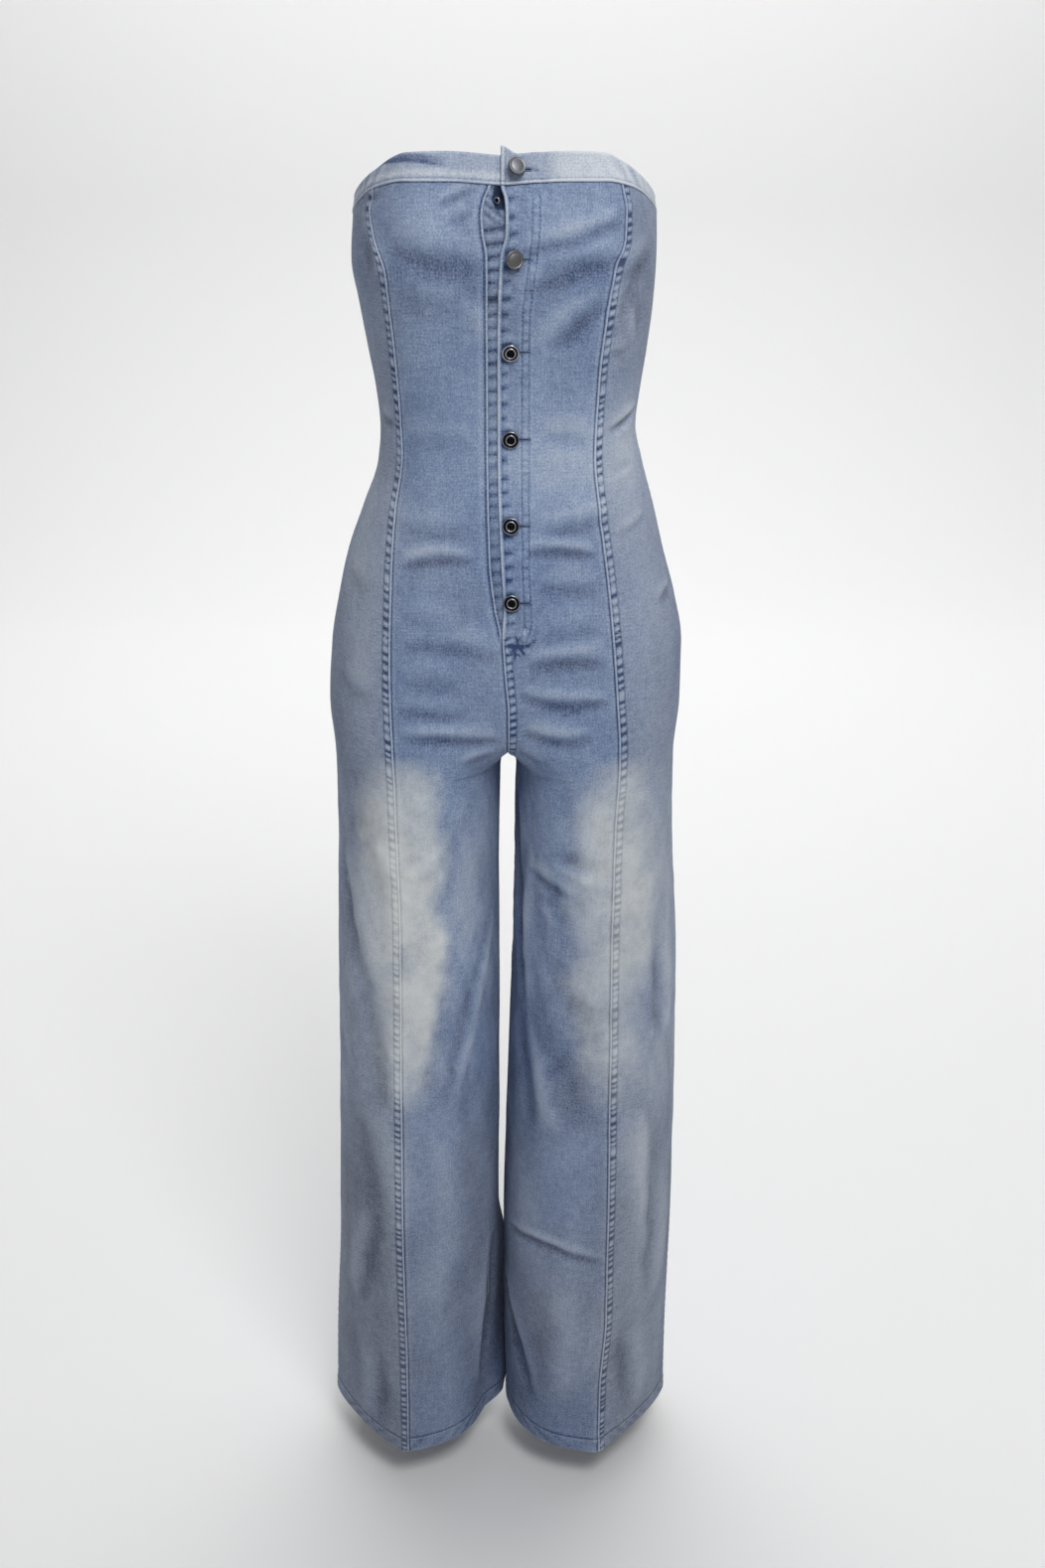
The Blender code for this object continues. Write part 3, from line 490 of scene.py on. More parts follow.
def noise(x, y, seed=0):
    """Smooth noise between -1 and 1 with one lattice cell to each unit."""
    grid = LATTICES[seed % len(LATTICES)]
    x, y = np.broadcast_arrays(np.asarray(x, float) + 7.3 * seed, np.asarray(y, float) + 3.1 * seed)
    i, j = np.floor(x).astype(int), np.floor(y).astype(int)
    s, t = smooth(x - i), smooth(y - j)
    i, j, next_i, next_j = i % CELLS, j % CELLS, (i + 1) % CELLS, (j + 1) % CELLS
    low = grid[i, j] * (1 - s) + grid[next_i, j] * s
    return low * (1 - t) + (grid[i, next_j] * (1 - s) + grid[next_i, next_j] * s) * t


def lumps(along, period, seed, uneven=0.85):
    """Uneven swells, 0 in the narrow dips between them and 1 on the crests, with along in millimetres."""
    drift = 0.55 * noise(along / (1.7 * period), 0.5, seed) + 0.14 * noise(along / 4.0, 0.5, seed + 1)
    swell = np.abs(np.sin(np.pi * (along / period + uneven * drift))) ** 0.75
    weight = 1 - uneven * (0.40 - 0.40 * noise(along / (1.2 * period), 3.5, seed + 2))
    return 1 - (1 - swell) * weight


# ---------------------------------------------------------------- creases

def curve_points(line, steps=12):
    """Points on the arc through a start, a middle and an end, given in millimetres."""
    x0, z0, x1, z1, x2, z2 = (value * MM for value in line)
    cx, cz = 2 * x1 - 0.5 * (x0 + x2), 2 * z1 - 0.5 * (z0 + z2)
    t = np.linspace(0, 1, steps + 1)
    return np.stack(((1 - t) ** 2 * x0 + 2 * t * (1 - t) * cx + t * t * x2,
                     (1 - t) ** 2 * z0 + 2 * t * (1 - t) * cz + t * t * z2), axis=-1)


def from_line(points, x, z):
    """Signed distance from a line of points, + on its left as it runs, and how far along it (0 to 1)."""
    runs = run_along(points)
    steps = np.diff(runs)
    best = np.full(x.shape, 1e9)
    signed = np.zeros(x.shape)
    share = np.zeros(x.shape)
    for k in range(len(points) - 1):
        ax, az = points[k]
        dx, dz = (points[k + 1] - points[k]) / steps[k]
        t = np.clip((x - ax) * dx + (z - az) * dz, 0, steps[k])
        ex, ez = x - ax - t * dx, z - az - t * dz
        far = np.hypot(ex, ez)
        near = far < best
        best = np.where(near, far, best)
        signed = np.where(near, np.where(dx * ez - dz * ex >= 0, far, -far), signed)
        share = np.where(near, (runs[k] + t) / runs[-1], share)
    return signed, share


def creases(face, side, c, z):
    """Depth and tone of the listed creases."""
    depth = np.zeros(c.shape)
    tone = np.zeros(c.shape)
    wander = noise(c / 0.022, z / 0.022, 2)
    for *line, deep, wide in CREASES[face]["both"] + CREASES[face][HANDS[side]]:
        deep, wide = CREASE_DEPTH[side] * deep, 1.04 * wide * MM
        points = curve_points(line)
        low, high = points.min(axis=0) - 4 * wide, points.max(axis=0) + 4 * wide
        at = (c > low[0]) & (c < high[0]) & (z > low[1]) & (z < high[1])
        if not at.any():
            continue
        away, share = from_line(points, c[at], z[at])
        if points[-1, 0] < points[0, 0]:
            away = -away
        away = away + 0.28 * wide * wander[at]
        taper = np.sin(np.pi * np.clip(share, 0.0, 1.0)) ** 0.5
        taper = np.where((share <= 0) | (share >= 1), 0.0, taper)
        across = away / (wide * (0.75 + 0.45 * taper))
        depth[at] += deep * taper * bumps(across, (-1, 0, 1), (0.42, 1.9, 1.25), (0.18, -1.9, 1.2))
        strength = min(abs(deep) / 2.4, 1.25) * np.sign(deep) * min(1.0, 6.5 * MM / wide) ** 0.6
        if face == BACK and points[0, 1] < -0.55:
            strength *= 0.5
        # Painted shade in each trough and painted light beside it (the reverse for a ridge), partly also wear
        # along the ridges.
        tone[at] += strength * taper * bumps(across, (-0.72, -0.1, 0.90), (0.56, 1.8, 1.2))
    return depth, tone


def drape(face, side, c, z, reach, total, fade):
    """The cloth's own gentle unevenness, with the creases, gone at the side seam and the inseam."""
    deep, tone = creases(face, side, c, z)
    low = smooth((-0.40 - z) / 0.35)
    soft = noise(c / 0.045, z / 0.060, 3) * (0.35 + 0.55 * low)
    soft = soft + noise(c / 0.021, z / 0.027, 4) * (0.20 + 0.12 * low)
    fine = noise(c / 0.0085, z / 0.0105, 5) * 0.07
    long_soft = (noise(c / 0.032, z / 0.16, 6) * 1.1 + noise(c / 0.013, z / 0.11, 1) * 0.45) * low
    deep = deep + soft + fine + long_soft
    # Painted shade and light that follow the relief: paler where the cloth swells out, deeper where it sinks,
    # partly also the denim's wear on its swells.
    tone = tone + 0.12 * soft + 0.15 * long_soft
    if face == FRONT:
        crumple = noise((c + 0.5 * z) / 0.012, (z - 0.4 * c) / 0.017, 7)
        crumple = fade * (crumple + 0.6 * noise((c - 0.6 * z) / 0.007, z / 0.011, 1))
        streak = noise((c + 0.35 * z) / 0.008, (z - 0.2 * c) / 0.042, 4)
        streak = streak + 0.7 * noise((c - 0.5 * z) / 0.011, (z + 0.3 * c) / 0.034, 2)
        streak = streak * smooth((-0.50 - z) / 0.06) * smooth((z + 0.98) / 0.16)
        # In the worn patch the crumples and streaks pale on their crests and deepen in their dips: partly wear,
        # partly painted shade and light.
        deep = deep + 0.55 * crumple + 0.42 * streak
        tone = tone + 0.50 * crumple + 0.26 * streak
        deep = deep - 9.0 * bump((reach - 0.040) / 0.026) * smooth((-1.13 - z) / 0.14) * (side == RIGHT)
    # the inseams part under the crotch, and the legs hang closed against each other near the hems
    fork = bump(reach / 0.022) * smooth((-0.516 - z) / 0.02) * smooth((z + 0.86) / 0.2)
    shut = smooth((-1.055 - z) / 0.045) * smooth((z + 1.322) / 0.03)
    close = bump(reach / 0.020) * shut * (side == RIGHT)
    behind = bump((reach - 0.016) / 0.009) * smooth(reach / 0.006) * shut * (face == BACK)
    deep = deep - 1.6 * fork + 3.4 * close + (4.0 if side == RIGHT else -1.5) * behind
    at_side = smooth((total - reach) / 0.016)
    at_inseam = np.where(z < -0.49, np.maximum(smooth(reach / 0.012), np.maximum(fork, close)), 1.0)
    hang = smooth((-z + 0.002) / 0.012)
    return deep * at_side * at_inseam * hang, tone * (0.4 + 0.6 * at_side)


# ---------------------------------------------------------------- seams
# Each gives a depth and a tone from e, the distance in from the edge, and s, the length along it, both in mm.
# The tones are painted shade in the seams' dips, stitch grooves and pucker hollows and painted light on the
# rolled edges and pucker crests, partly also the wear on the raised edges.

def felled_over(e, s, seed):
    """The panel on top at a felled seam: folded edge, stitch line, puckered strip, stitch line."""
    swell = lumps(s + 0.35 * e, 8.0, seed)
    inside = smooth((e - 1.9) / 0.9) * smooth((8.2 - e) / 1.0)
    beyond = np.exp(-np.clip(e - 8.0, 0, None) / 4.5) * (e > 7.0)
    deep = (bumps(e, (0.70, 1.15, 0.85), (-0.45, 2.35, 0.45), (-0.50, 8.0, 0.55)) - 0.45 * smooth(1 - e / 0.45)
            + inside * (0.25 + 0.62 * (swell - 0.45)) + 0.30 * (swell - 0.6) * beyond)
    # Painted light on the folded edge and the pucker crests, partly their wear; painted shade in the stitch
    # grooves and pucker dips.
    tone = (bumps(e, (1.15, 1.1, 0.75), (-1.0, 2.4, 0.55), (-1.05, 8.0, 0.7))
            + inside * (3.7 * swell ** 1.4 - 2.85) + 0.45 * (swell - 0.7) * beyond)
    return deep, tone


def felled_under(e, s, seed):
    """The panel underneath at a felled seam."""
    swell = lumps(s, 8.0, seed)
    deep = -0.50 * bump(e) + 0.16 * (swell - 0.6) * np.exp(-e / 4.0)
    # Painted shadow along the edge, where the lapped panel steps down onto this one.
    return deep, -1.3 * bump(e) + 0.25 * bump((e - 3.0) / 1.4) * swell


def plain_seam(e, s, seed):
    """A closed seam with no stitching on show: a dip and small puckers, more of them towards the hem."""
    swell = lumps(s, 9.5, seed)
    pucker = (0.45 + 0.75 * smooth((s - 950) / 200)) * (swell - 0.55) * np.exp(-e / 5.5)
    # Painted shade in the seam's dip and the pucker dips, painted light on the pucker crests.
    tone = -0.8 * bump(e / 0.9) + 0.45 * bump((e - 2.2) / 1.6) * swell + 0.5 * (swell - 0.8) * np.exp(-e / 4.0)
    return -0.75 * bump(e / 0.9) + pucker, tone


def folded_edge(e, s, seed):
    """The right front's edge beside the stand: a thin rolled edge and one stitch line."""
    swell = lumps(s, 9.0, seed)
    deep = (bumps(e, (0.75, 1.1, 0.9), (-0.5, 2.9, 0.6)) - 0.4 * smooth(1 - e / 0.4)
            + 0.16 * (swell - 0.6) * np.exp(-e / 6.0))
    # Painted light on the rolled edge, partly its wear; painted shade in the stitch groove.
    return deep, bumps(e, (1.15, 1.0, 0.8), (-1.5, 2.7, 0.75), (0.30, 6.5, 2.6))


def placket_edge(e, s, seed):
    """The overlapping front's edge: rolled, then dashes of shade where its facing pulls."""
    swell = lumps(s + 0.18 * e, 12.8, seed, 0.40)
    crisp = 1.0 + 0.30 * noise(s / 17.0, 0.5, 4)
    pulled = smooth((e - 2.6) / 2.0) * smooth((13.0 + 2.5 * noise(s / 9.0, 0.5, 6) - e) / 5.0)
    deep = (bumps(e, (1.15, 1.5, 1.35), (-0.35, 4.0, 0.9)) - 0.5 * smooth(1 - e / 0.5)
            + pulled * 1.4 * (swell - 0.6))
    # Painted light on the rolled edge, partly its wear; painted shade in the pulled dashes and the stitch
    # groove.
    tone = crisp * bumps(e, (1.30, 1.4, 1.25)) + pulled * (1.9 * swell - 1.55) + bumps(e, (-0.45, 4.1, 0.9))
    return deep, tone


def top_edge(e, s):
    """Below the band's seam: a shaded line and short puckers."""
    swell = lumps(s, 8.5, 6)
    deep = -0.35 * bump(e / 1.2) + 0.34 * (swell - 0.6) * np.exp(-e / 5.0)
    # Painted shade under the seam and in the pucker dips.
    return deep, -1.1 * bump(e - 0.3) + 0.55 * (swell - 0.75) * np.exp(-e / 5.5)


def hem_edge(e, s):
    """The turn-up: thicker, with a stitch line 18 mm up and slanting pulls between."""
    swell = lumps(s + 0.8 * e, 13.0, 7)
    turned_up = smooth((18.4 - e) / 0.8)
    deep = (turned_up * (0.45 + 0.28 * (swell - 0.5)) - 0.55 * bump((e - 18.6) / 0.7) - 0.55 * smooth(1 - e)
            + 0.12 * (swell - 0.5) * np.exp(-np.clip(e - 19, 0, 99) / 6) * (e > 18))
    # Painted shade in the stitch groove and the pulls' dips, painted light on the turned edge and the pulls'
    # crests, partly their wear.
    tone = bumps(e, (0.45, 0.8, 1.2), (-1.5, 18.7, 0.9), (0.45, 16.7, 0.9)) + turned_up * (0.9 * swell - 0.85)
    return deep, tone


def edge_look(plan, e, s, z):
    """An edge's look: one seam, or those above the opening's foot, down to the crotch and along the leg."""
    looks = [np.stack(style(e, s, seed)) for style, seed in plan]
    if len(looks) == 1:
        return looks[0]
    foot = smooth((STAND_FOOT + 0.004 - z) / 0.012)
    leg = smooth((CROTCH + 0.012 - z) / 0.016)
    above, body, inseam = looks
    return above * (1 - foot) + (body * (1 - leg) + inseam * leg) * foot


# ---------------------------------------------------------------- the placket and the stand

def fly_strip(reach, z):
    """The stitched strip beside the buttons and its curved foot."""
    away, share = from_line(np.array(FLY) * MM, reach, z)
    e = np.abs(away) / MM
    s = share * 400.0
    swell = lumps(s, 8.0, 5)
    inside = smooth((2.9 - e) / 0.9)
    shown = smooth(share / 0.01) * (e < 16)
    dash = 0.45 + 0.55 * smooth(np.sin(s * 2.03) * 1.5 + 0.5)
    stitched = bump((e - 3.0) / 0.6)
    deep = (inside * 0.36 * (swell - 0.55) - 0.34 * stitched
            + 0.14 * (swell - 0.6) * np.exp(-np.clip(e - 3, 0, 99) / 3))
    # Painted shade in dashes along the stitch lines and in the pucker dips, painted light on a line beside
    # them.
    tone = inside * (swell - 0.75) - 1.1 * dash * stitched + 0.25 * bump((e - 4.8) / 0.9)
    return deep * shown, tone * shown


def placket_lift(reach, z):
    """How far the overlapping front stands off the stand and the buttons' side."""
    down = smooth((z - STAND_FOOT) / PLACKET_FADE + 1)
    return PLACKET_LIFT * (1 - smooth((reach - PLACKET_FLAT) / (PLACKET_RAMP - PLACKET_FLAT))) * down


def placket_extra(reach, z, e):
    """The fly's stitched strip, the bulge at its top, the bunched foot and the buttonholes."""
    deep, tone = fly_strip(reach, z)
    deep = deep + 2.6 * bump((z + 0.026) / 0.013) * bump((e - 1.0) / 5.0)
    for x0, z0, x1, z1, strong, wide in FOOT_PULLS:
        away, share = from_line(np.array(((x0, z0), (x1, z1))) * MM, reach, z)
        pull = strong * (np.abs(away) < 6 * MM) * bump(away / (wide * MM))
        pull = pull * smooth(share / 0.25 + 0.5) * smooth((1 - share) / 0.3 + 0.35)
        # Painted shade in each bunched pull, and painted light where a pull's strength is negative.
        deep = deep - 0.7 * pull
        tone = tone - 1.9 * pull
    for place in BUTTONS[1:]:
        x, y = (reach - place[1]) / MM, (z - place[0]) / MM
        along = smooth((x - 2) / 3) * smooth((17.5 - x) / 1.5)
        deep = deep - 0.7 * bump(np.hypot(x, y) / 8.0) + 0.35 * bump((np.abs(y) - 1.1) / 0.7) * along
        # Painted shadow of each button a little below it and towards the centre front, and painted shade along
        # each slit.
        tone = tone - 0.75 * bump(np.hypot(x + 1.0, y + 2.0) / 8.5) * (y < 9) - 0.8 * bump(y / 1.1) * along
    return deep, tone


def stand_extra(reach, z, e):
    """The stand's puckers, and how it sinks in the shadow behind the placket's bulge and under the placket."""
    s = -z / MM
    swell = lumps(s + 0.12 * e, 11.0, 3, 0.45)
    strong = 0.82 - 0.22 * smooth((s - 230) / 40)
    hollow = np.exp(-np.hypot((reach + 0.0050) / 0.0050, (z + 0.0095) / 0.0085) ** 4)
    gathers = smooth((z + 0.034) / 0.012) * smooth((-0.001 - z) / 0.002)
    fold = 0.5 + 0.5 * np.sin((reach * 0.75 + z) / 0.00125)
    covered = smooth((reach - opening("edge", z) - 0.0015) / 0.0035)
    # Painted shade: near black in the hollow at the top, darker in the pucker dips and along the join, and
    # lighter and darker over the gathers with their folds.
    deep = 0.9 * strong * (swell - 0.6) * (1 - gathers) + gathers * 0.9 * (fold - 0.5)
    tone = (strong * (1.9 * swell - 1.45) - 0.35 * bump(e / 2.0)) * (1 - gathers)
    tone = tone + gathers * (0.9 * fold - 0.5)
    return deep - 4.5 * hollow - 1.6 * covered, tone * (1 - hollow) - 3.4 * hollow


def opened(away, beside, way):
    """How far a buttonhole's edges are pushed apart round a button's post."""
    return 2.1 * MM * way * np.exp(-np.abs(away) / (4 * MM)) * bump(beside / (2.4 * MM))


# ---------------------------------------------------------------- wash

def fade_at(c, z):
    """How far the cloth is worn pale, 0 to 1."""
    worn = np.zeros(c.shape)
    strength = column(FADES, FADE_COLUMNS, "strength", z)
    ragged = 7.0 * noise(c / 0.030, z / 0.045, 1) + 5.0 * noise(c / 0.011, z / 0.019, 2)
    ragged = ragged + 3.5 * noise(c / 0.004, z / 0.008, 5)
    for side, (inner_soft, outer_soft, most) in FADE_EDGES.items():
        near = column(FADES, FADE_COLUMNS, HANDS[side] + "_inner", z) * side
        far = column(FADES, FADE_COLUMNS, HANDS[side] + "_outer", z) * side
        out = c / MM * side
        mask = smooth((out - near + 0.5 * inner_soft + ragged) / inner_soft)
        mask = mask * smooth((far - out + 0.42 * outer_soft + ragged) / outer_soft)
        worn = np.maximum(worn, most * mask * (out > 0))
    patch = 0.90 + 0.26 * noise(c / 0.024, z / 0.036, 4) + 0.12 * noise(c / 0.009, z / 0.013, 6)
    patch = patch + 0.06 * noise(c / 0.0035, z / 0.005, 3)
    return np.clip(worn * strength * (z < -0.46) * (z > -0.90) * patch, 0, 1)


def wash_shade_and_light_at(face, side, c, z):
    """How greyed the blue is, and how much paler (or deeper, negative) it is: the wash, with painted shade and
    light in it.
    """
    out = 0.5
    if face == FRONT:
        out = smooth((np.abs(c) - np.interp(z, Z_GRID, PINS[face, side][0]) + 0.012) / 0.03)
    low = smooth((-0.80 - z) / 0.35) * (1 - 0.45 * smooth((-1.14 - z) / 0.12))
    # The side panels are greyer: partly the denim's wash, partly a painted stand-in for the paler sheen of the
    # cloth turning away.
    grey = 0.08 + 0.55 * out + 0.62 * low
    grey = grey + 0.22 * noise(c / 0.07, z / 0.11, 7) + 0.10 * noise(c / 0.02, z / 0.03, 3)
    # Painted shade: the blue deepens from the knees down to the hems, for the light falling off lower down.
    deeper = (0.22 * smooth((-0.24 - z) / 0.08) * smooth((z + 0.60) / 0.10) + 0.50 * smooth((-0.80 - z) / 0.22)
              - 0.30 * bump((z + 0.215) / 0.04) * (c > 0) + 0.20 * smooth((z + 0.13) / 0.06)
              + 0.03 * smooth((-1.16 - z) / 0.08) + 0.13 * noise(c / 0.055, z / 0.10, 1))
    if face == FRONT:
        for at_c, at_z, wide, high, more in WASH_SHADE_AND_LIGHT_PATCHES[HANDS[side]]:
            deeper = deeper + more * bump(np.hypot((c / MM - at_c) / wide, (z / MM - at_z) / high))
    return np.clip(grey, 0, 1), -deeper


# ---------------------------------------------------------------- meshes

CLOTH = {}
# How much of a value shows on the inner face.
INNER_SHARE = {"fade": 0.35, "tone": 0.4, "grey": 1.0}


def new_object(name, data):
    made = bpy.data.objects.new(name, data)
    bpy.context.scene.collection.objects.link(made)
    return made


def mesh_of(name, points, grid, loose=()):
    """A mesh from an array of faces with as many corners each, and a list of other faces."""
    mesh = bpy.data.meshes.new(name)
    loops = np.concatenate((grid.ravel(), np.array([corner for face in loose for corner in face], int)))
    sizes = np.concatenate((np.full(len(grid), grid.shape[1]), np.array([len(face) for face in loose], int)))
    mesh.vertices.add(len(points))
    mesh.vertices.foreach_set("co", points.astype(np.float32).ravel())
    mesh.loops.add(len(loops))
    mesh.loops.foreach_set("vertex_index", loops.astype(np.int32))
    mesh.polygons.add(len(sizes))
    mesh.polygons.foreach_set("loop_start", (np.cumsum(sizes) - sizes).astype(np.int32))
    mesh.update(calc_edges=True)
    mesh.validate()
    return mesh


def set_values(mesh, label, *values):
    layer = mesh.attributes.new(label, "FLOAT", "POINT")
    layer.data.foreach_set("value", np.concatenate([part.ravel() for part in values]).astype(np.float32))


def shell(name, outer, normal, wall, keep, values, uv, holes=()):
    """A closed wall: the full outer grid and a thinner inner one, joined round the edge and the holes."""
    rows, columns = outer.shape[:2]
    kept_rows = sorted(set(range(0, rows, keep[0])) | {rows - 1})
    kept_columns = sorted(set(range(0, columns, keep[1])) | {columns - 1})
    kept = np.ix_(kept_rows, kept_columns)
    inner = (outer - normal * wall)[kept]
    front = np.arange(rows * columns).reshape(rows, columns)
    back = rows * columns + np.arange(len(kept_rows) * len(kept_columns)).reshape(inner.shape[:2])
    front_quads = np.stack((front[:-1, :-1], front[1:, :-1], front[1:, 1:], front[:-1, 1:]), axis=-1)
    back_quads = np.stack((back[:-1, :-1], back[:-1, 1:], back[1:, 1:], back[1:, :-1]), axis=-1)
    edges = []
    if holes:
        cloth = np.ones((rows - 1, columns - 1), bool)
        for top, foot, near, far in holes:
            cloth[top:foot, near:far] = False
            for k in range(near, far):
                edges += [((top, k + 1), (top, k)), ((foot, k), (foot, k + 1))]
            for k in range(top, foot):
                edges += [((k, near), (k + 1, near)), ((k + 1, far), (k, far))]
        front_quads, back_quads = front_quads[cloth], back_quads[cloth]
    loose = [[front[a], front[b], back[b], back[a]] for a, b in edges]

    def rim(front_line, back_line, kept_places, turn):
        for k in range(len(kept_places) - 1):
            face = [front_line[place] for place in range(kept_places[k], kept_places[k + 1] + 1)]
            face += [back_line[k + 1], back_line[k]]
            loose.append(face[::-1] if turn else face)

    rim(front[0], back[0], kept_columns, False)
    rim(front[-1], back[-1], kept_columns, True)
    rim(front[:, 0], back[:, 0], kept_rows, True)
    rim(front[:, -1], back[:, -1], kept_rows, False)
    points = np.concatenate((outer.reshape(-1, 3), inner.reshape(-1, 3)))
    quads = np.concatenate((front_quads.reshape(-1, 4), back_quads.reshape(-1, 4)))
    mesh = mesh_of(name, points, quads, loose)
    for label, value in values.items():
        set_values(mesh, label, value, value[kept] * INNER_SHARE[label])
    corner = np.zeros(len(mesh.loops), np.int32)
    mesh.loops.foreach_get("vertex_index", corner)
    flat = np.concatenate((uv.reshape(-1, 2), uv[kept].reshape(-1, 2)))
    mesh.uv_layers.new(name="weave").uv.foreach_set("vector", flat[corner].astype(np.float32).ravel())
    set_values(mesh, "inside", np.zeros(front.shape), np.ones(back.shape))
    mesh.shade_smooth()
    mesh.set_sharp_from_angle(angle=math.radians(62))
    face_outward(mesh)
    return new_object(name, mesh)


def face_outward(mesh):
    """Turns every face of a closed wall that points into the cloth."""
    work = bmesh.new()
    work.from_mesh(mesh)
    if work.calc_volume(signed=True) < 0:
        bmesh.ops.reverse_faces(work, faces=work.faces)
        work.to_mesh(mesh)
    work.free()


# ---------------------------------------------------------------- panels

def row_places():
    """Heights of the grid's rows, closer where the cloth runs under the crotch and at the buttonholes."""
    z = np.arange(0.0, HEM - 1e-9, -0.0001)
    centres = [look(face, LEFT, np.zeros(len(z)), z)[:, 1] for face in (FRONT, BACK)]
    slope = np.max(np.abs(np.diff(centres)), axis=0)
    near_fork = (z[1:] < -0.44) & (z[1:] > CROTCH - 0.008)
    run = np.concatenate(([0], np.cumsum(np.abs(np.diff(z)) + np.where(near_fork, 0.55 * slope, 0))))
    rows = np.interp(np.linspace(0, run[-1], int(run[-1] / ROW_STEP) + 1), run, z)
    rows = rows[(rows - HEM > 0.0003)]
    rows = rows[(rows > CROTCH + 0.0008) | (rows < CROTCH - 0.0058)]
    extra = [HEM, HEM + 0.0004, HEM + 0.0010, -0.0004, -0.0010] + [CROTCH + more for more in CROTCH_ROWS]
    for place in BUTTONS[1:]:
        for edge in (place[0] - HOLE_HALF, place[0] + HOLE_HALF):
            rows = rows[np.abs(rows - edge) > 0.0006]
            extra.append(edge)
    return np.sort(np.concatenate((rows, extra)))[::-1]


def column_offsets(width, near, far, middle):
    """The columns' distances from the near edge: fine steps in from each edge, then even ones between."""
    first = near * np.minimum(1.0, 0.48 * width[:, :len(near)] / (near[-1] + 1e-9))
    last = width[:, -len(far):]
    last = last - far[::-1] * np.minimum(1.0, 0.48 * last / (far[-1] + 1e-9))
    between = width[:, len(near):-len(far)]
    start = near[-1] * np.minimum(1.0, 0.48 * between / (near[-1] + 1e-9))
    end = between - far[-1] * np.minimum(1.0, 0.48 * between / (far[-1] + 1e-9))
    shares = np.linspace(0, 1, middle + 2)[1:-1]
    return np.concatenate((first, start + (end - start) * shares, last), axis=1)


def build_panel(name, face, side, seams, plans, steps, rows, keep=(3, 2), lift=None, extra=None, holes=()):
    """A panel between two seams: a grid on the form, moved out by its creases and by how its edges look."""
    near_steps, far_steps, middle = steps
    level = np.clip(1 + rows[:, None] / RIM_FADE, 0, 1)
    z = np.repeat(rows[:, None], len(near_steps) + middle + len(far_steps), axis=1)
    for _ in range(RIM_PASSES):
        # the rows near the top follow the band's seam
        first = SEAMS[seams[0]](face, side, z) + GAP / 2
        last = SEAMS[seams[1]](face, side, z) - GAP / 2
        reach = first + column_offsets(last - first, near_steps, far_steps, middle)
        z = rows[:, None] + level * (rim_height("seam", rim_place(face, side, reach, z)) - GAP / 2)
    for place in holes:
        z = z + opened(z - place[0], reach - place[1], np.sign(z - place[0]))
    near = (reach - SEAMS[seams[0]](face, side, z) - GAP / 2) / MM
    far = (SEAMS[seams[1]](face, side, z) - GAP / 2 - reach) / MM
    base = spot(face, side, reach, z)
    normal = normals(face, side, reach, z)
    c = crease_place(face, side, reach, z)
    fade = fade_at(c, z) if face == FRONT else 0.0 * z
    deep, tone = drape(face, side, c, z, reach, length(face, side, z), fade)
    # Where the tone is darker, mostly painted shade, the blue is also greyed (in the grey value below).
    shaded = np.clip(-tone, 0, 1)
    below = (rim_height("seam", rim_place(face, side, reach, z)) - z) / MM * level + 99 * (1 - level)
    across = run_along(base[0]) / MM + 0 * z + 200 * (face + 1)
    looks = [top_edge(np.clip(below, 0, 99), across)]
    for plan, e, column_at in zip(plans, (near, far), (0, -1)):
        looks.append(edge_look(plan, e, run_along(base[:, column_at])[:, None] / MM + 0 * z, z))
    if rows[-1] < HEM + 0.01:
        looks.append(hem_edge(np.clip((z - HEM) / MM, 0, 99), across))
    if extra:
        looks.append(extra(reach, z, near))
    if lift:
        looks.append((lift(reach, z), 0.0))
    grey, shade = wash_shade_and_light_at(face, side, c, z)
    looks.append((0.0, shade))
    for more, shade in looks:
        deep = deep + more
        tone = tone + shade
    cells = []
    for place in holes:
        top = nearest(rows, place[0] + HOLE_HALF)
        foot = nearest(rows, place[0] - HOLE_HALF)
        cells.append((top, foot, nearest(reach[top], place[1] + HOLE_START), nearest(reach[top], HOLE_END)))
    outer = base + normal * deep[..., None] * MM
    values = {"fade": fade, "tone": tone, "grey": np.clip(grey + 0.40 * shaded, 0, 1)}
    CLOTH[name] = {"outer": outer, "normal": normal, "reach": reach, "z": z, "near": near}
    return shell(name, outer, normal, WALL, keep, values, np.stack((c, z), axis=-1), cells)


NO_SEAM = ()
PLACKET_PLAN = ((placket_edge, 2), (felled_over, 4), (plain_seam, 5))
FOLD_PLAN = ((folded_edge, 6), (felled_under, 4), (plain_seam, 7))
REAR_OVER_PLAN = ((felled_over, 1), (felled_over, 1), (plain_seam, 5))
REAR_UNDER_PLAN = ((felled_under, 1), (felled_under, 1), (plain_seam, 7))
ROWS = row_places()
FAR_STEPS = EDGE_STEPS[:8]
